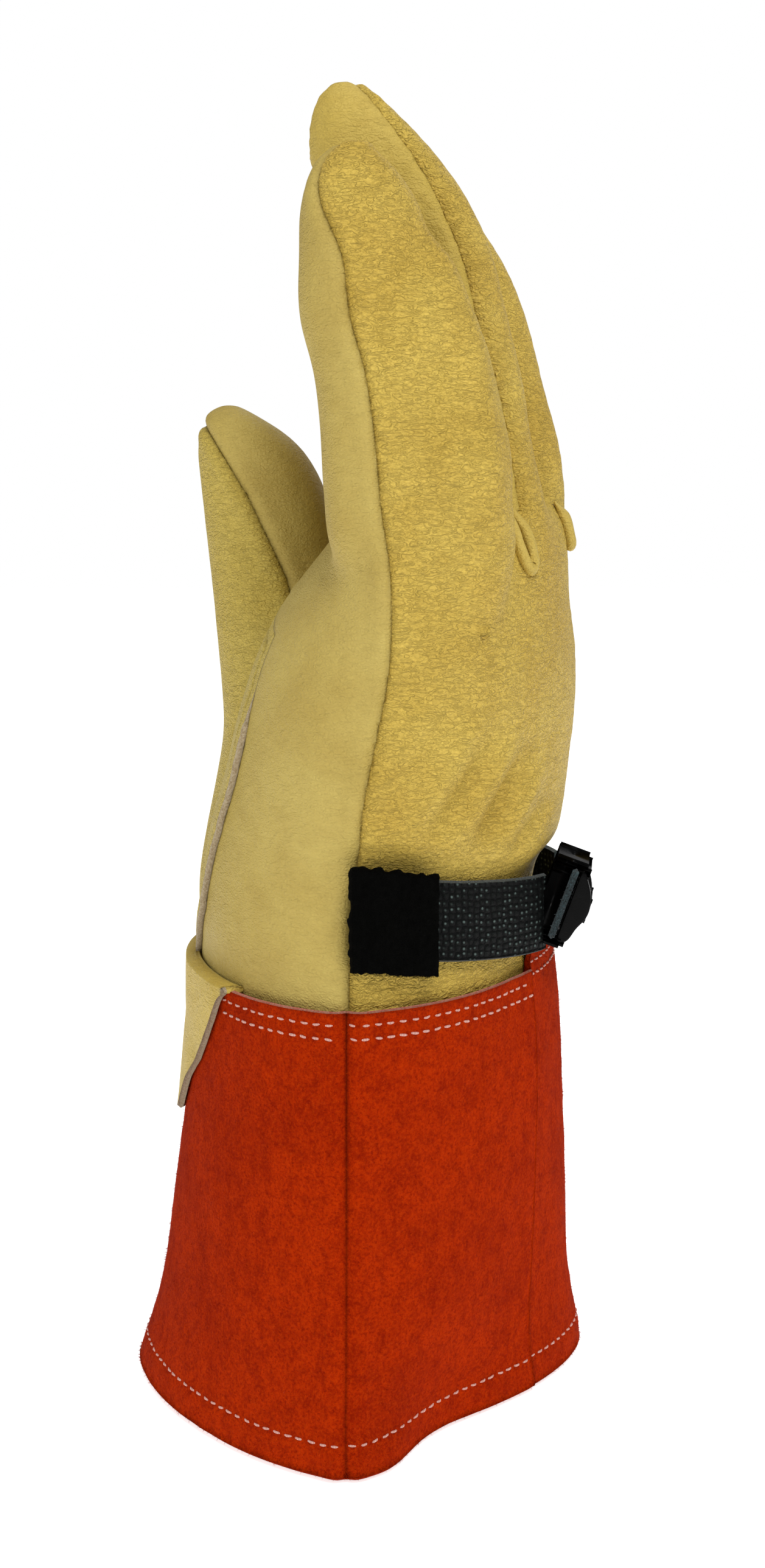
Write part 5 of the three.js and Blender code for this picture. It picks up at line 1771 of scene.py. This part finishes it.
class GLOVE_OT_cuff(bpy.types.Operator):
    """Builds the three suede parts of the cuff"""
    bl_idname = "glove.cuff"
    bl_label = "Cuff suede"

    def execute(self, context):
        build_cuff(context.scene.glove_cuff)
        build_nap(context.scene.glove_cuff)
        return {"FINISHED"}


class GLOVE_OT_vein_patch(bpy.types.Operator):
    """Builds the leather tongue over the cuff's top edge"""
    bl_idname = "glove.vein_patch"
    bl_label = "Vein patch"

    def execute(self, context):
        build_patch(context.scene.glove_cuff, context.scene.glove_hand)
        return {"FINISHED"}


class GLOVE_OT_stitches(bpy.types.Operator):
    """Lays the rows of stitches on the cuff"""
    bl_idname = "glove.stitches"
    bl_label = "Stitches"

    def execute(self, context):
        build_stitches(context.scene.glove_cuff)
        return {"FINISHED"}


class GLOVE_OT_strap(bpy.types.Operator):
    """Builds the strap's webbing on both sides of the slide"""
    bl_idname = "glove.strap"
    bl_label = "Strap"

    def execute(self, context):
        build_strap(context.scene.glove_strap)
        return {"FINISHED"}


class GLOVE_OT_felt(bpy.types.Operator):
    """Builds the felt patch over the strap's sewn end, with its fuzz"""
    bl_idname = "glove.felt"
    bl_label = "Felt patch"

    def execute(self, context):
        build_felt(context.scene.glove_strap)
        return {"FINISHED"}


class GLOVE_OT_slide(bpy.types.Operator):
    """Builds the slide and the webbing's folded end"""
    bl_idname = "glove.slide"
    bl_label = "Slide"

    def execute(self, context):
        build_slide(context.scene.glove_strap)
        return {"FINISHED"}


class GLOVE_PT_panel(bpy.types.Panel):
    """Lists the glove's operators and settings"""
    bl_idname = "GLOVE_PT_panel"
    bl_label = "Leather glove"
    bl_space_type = "VIEW_3D"
    bl_region_type = "UI"
    bl_category = "Glove"

    def draw(self, context):
        for operator in OPERATORS:
            self.layout.operator(operator.bl_idname)
        for group in SETTINGS:
            box = self.layout.box()
            box.label(text=group[0].__doc__)
            settings = getattr(context.scene, group[1])
            for name in group[0].__annotations__:
                box.prop(settings, name)


OPERATORS = (
    GLOVE_OT_stage, GLOVE_OT_hand, GLOVE_OT_darts, GLOVE_OT_cuff, GLOVE_OT_vein_patch,
    GLOVE_OT_stitches, GLOVE_OT_strap, GLOVE_OT_felt, GLOVE_OT_slide,
)
SETTINGS = (
    (GloveHandSettings, "glove_hand"),
    (GloveCuffSettings, "glove_cuff"),
    (GloveStrapSettings, "glove_strap"),
    (GloveStageSettings, "glove_stage"),
)


def register():
    for group, name in SETTINGS:
        bpy.utils.register_class(group)
        setattr(bpy.types.Scene, name, PointerProperty(type=group))
    for operator in OPERATORS:
        bpy.utils.register_class(operator)
    bpy.utils.register_class(GLOVE_PT_panel)


def unregister():
    bpy.utils.unregister_class(GLOVE_PT_panel)
    for operator in reversed(OPERATORS):
        bpy.utils.unregister_class(operator)
    for group, name in reversed(SETTINGS):
        delattr(bpy.types.Scene, name)
        bpy.utils.unregister_class(group)


def main():
    register()
    bpy.ops.glove.stage()
    bpy.ops.glove.hand()
    bpy.ops.glove.darts()
    bpy.ops.glove.cuff()
    bpy.ops.glove.vein_patch()
    bpy.ops.glove.stitches()
    bpy.ops.glove.strap()
    bpy.ops.glove.felt()
    bpy.ops.glove.slide()


if __name__ == "__main__":
    main()
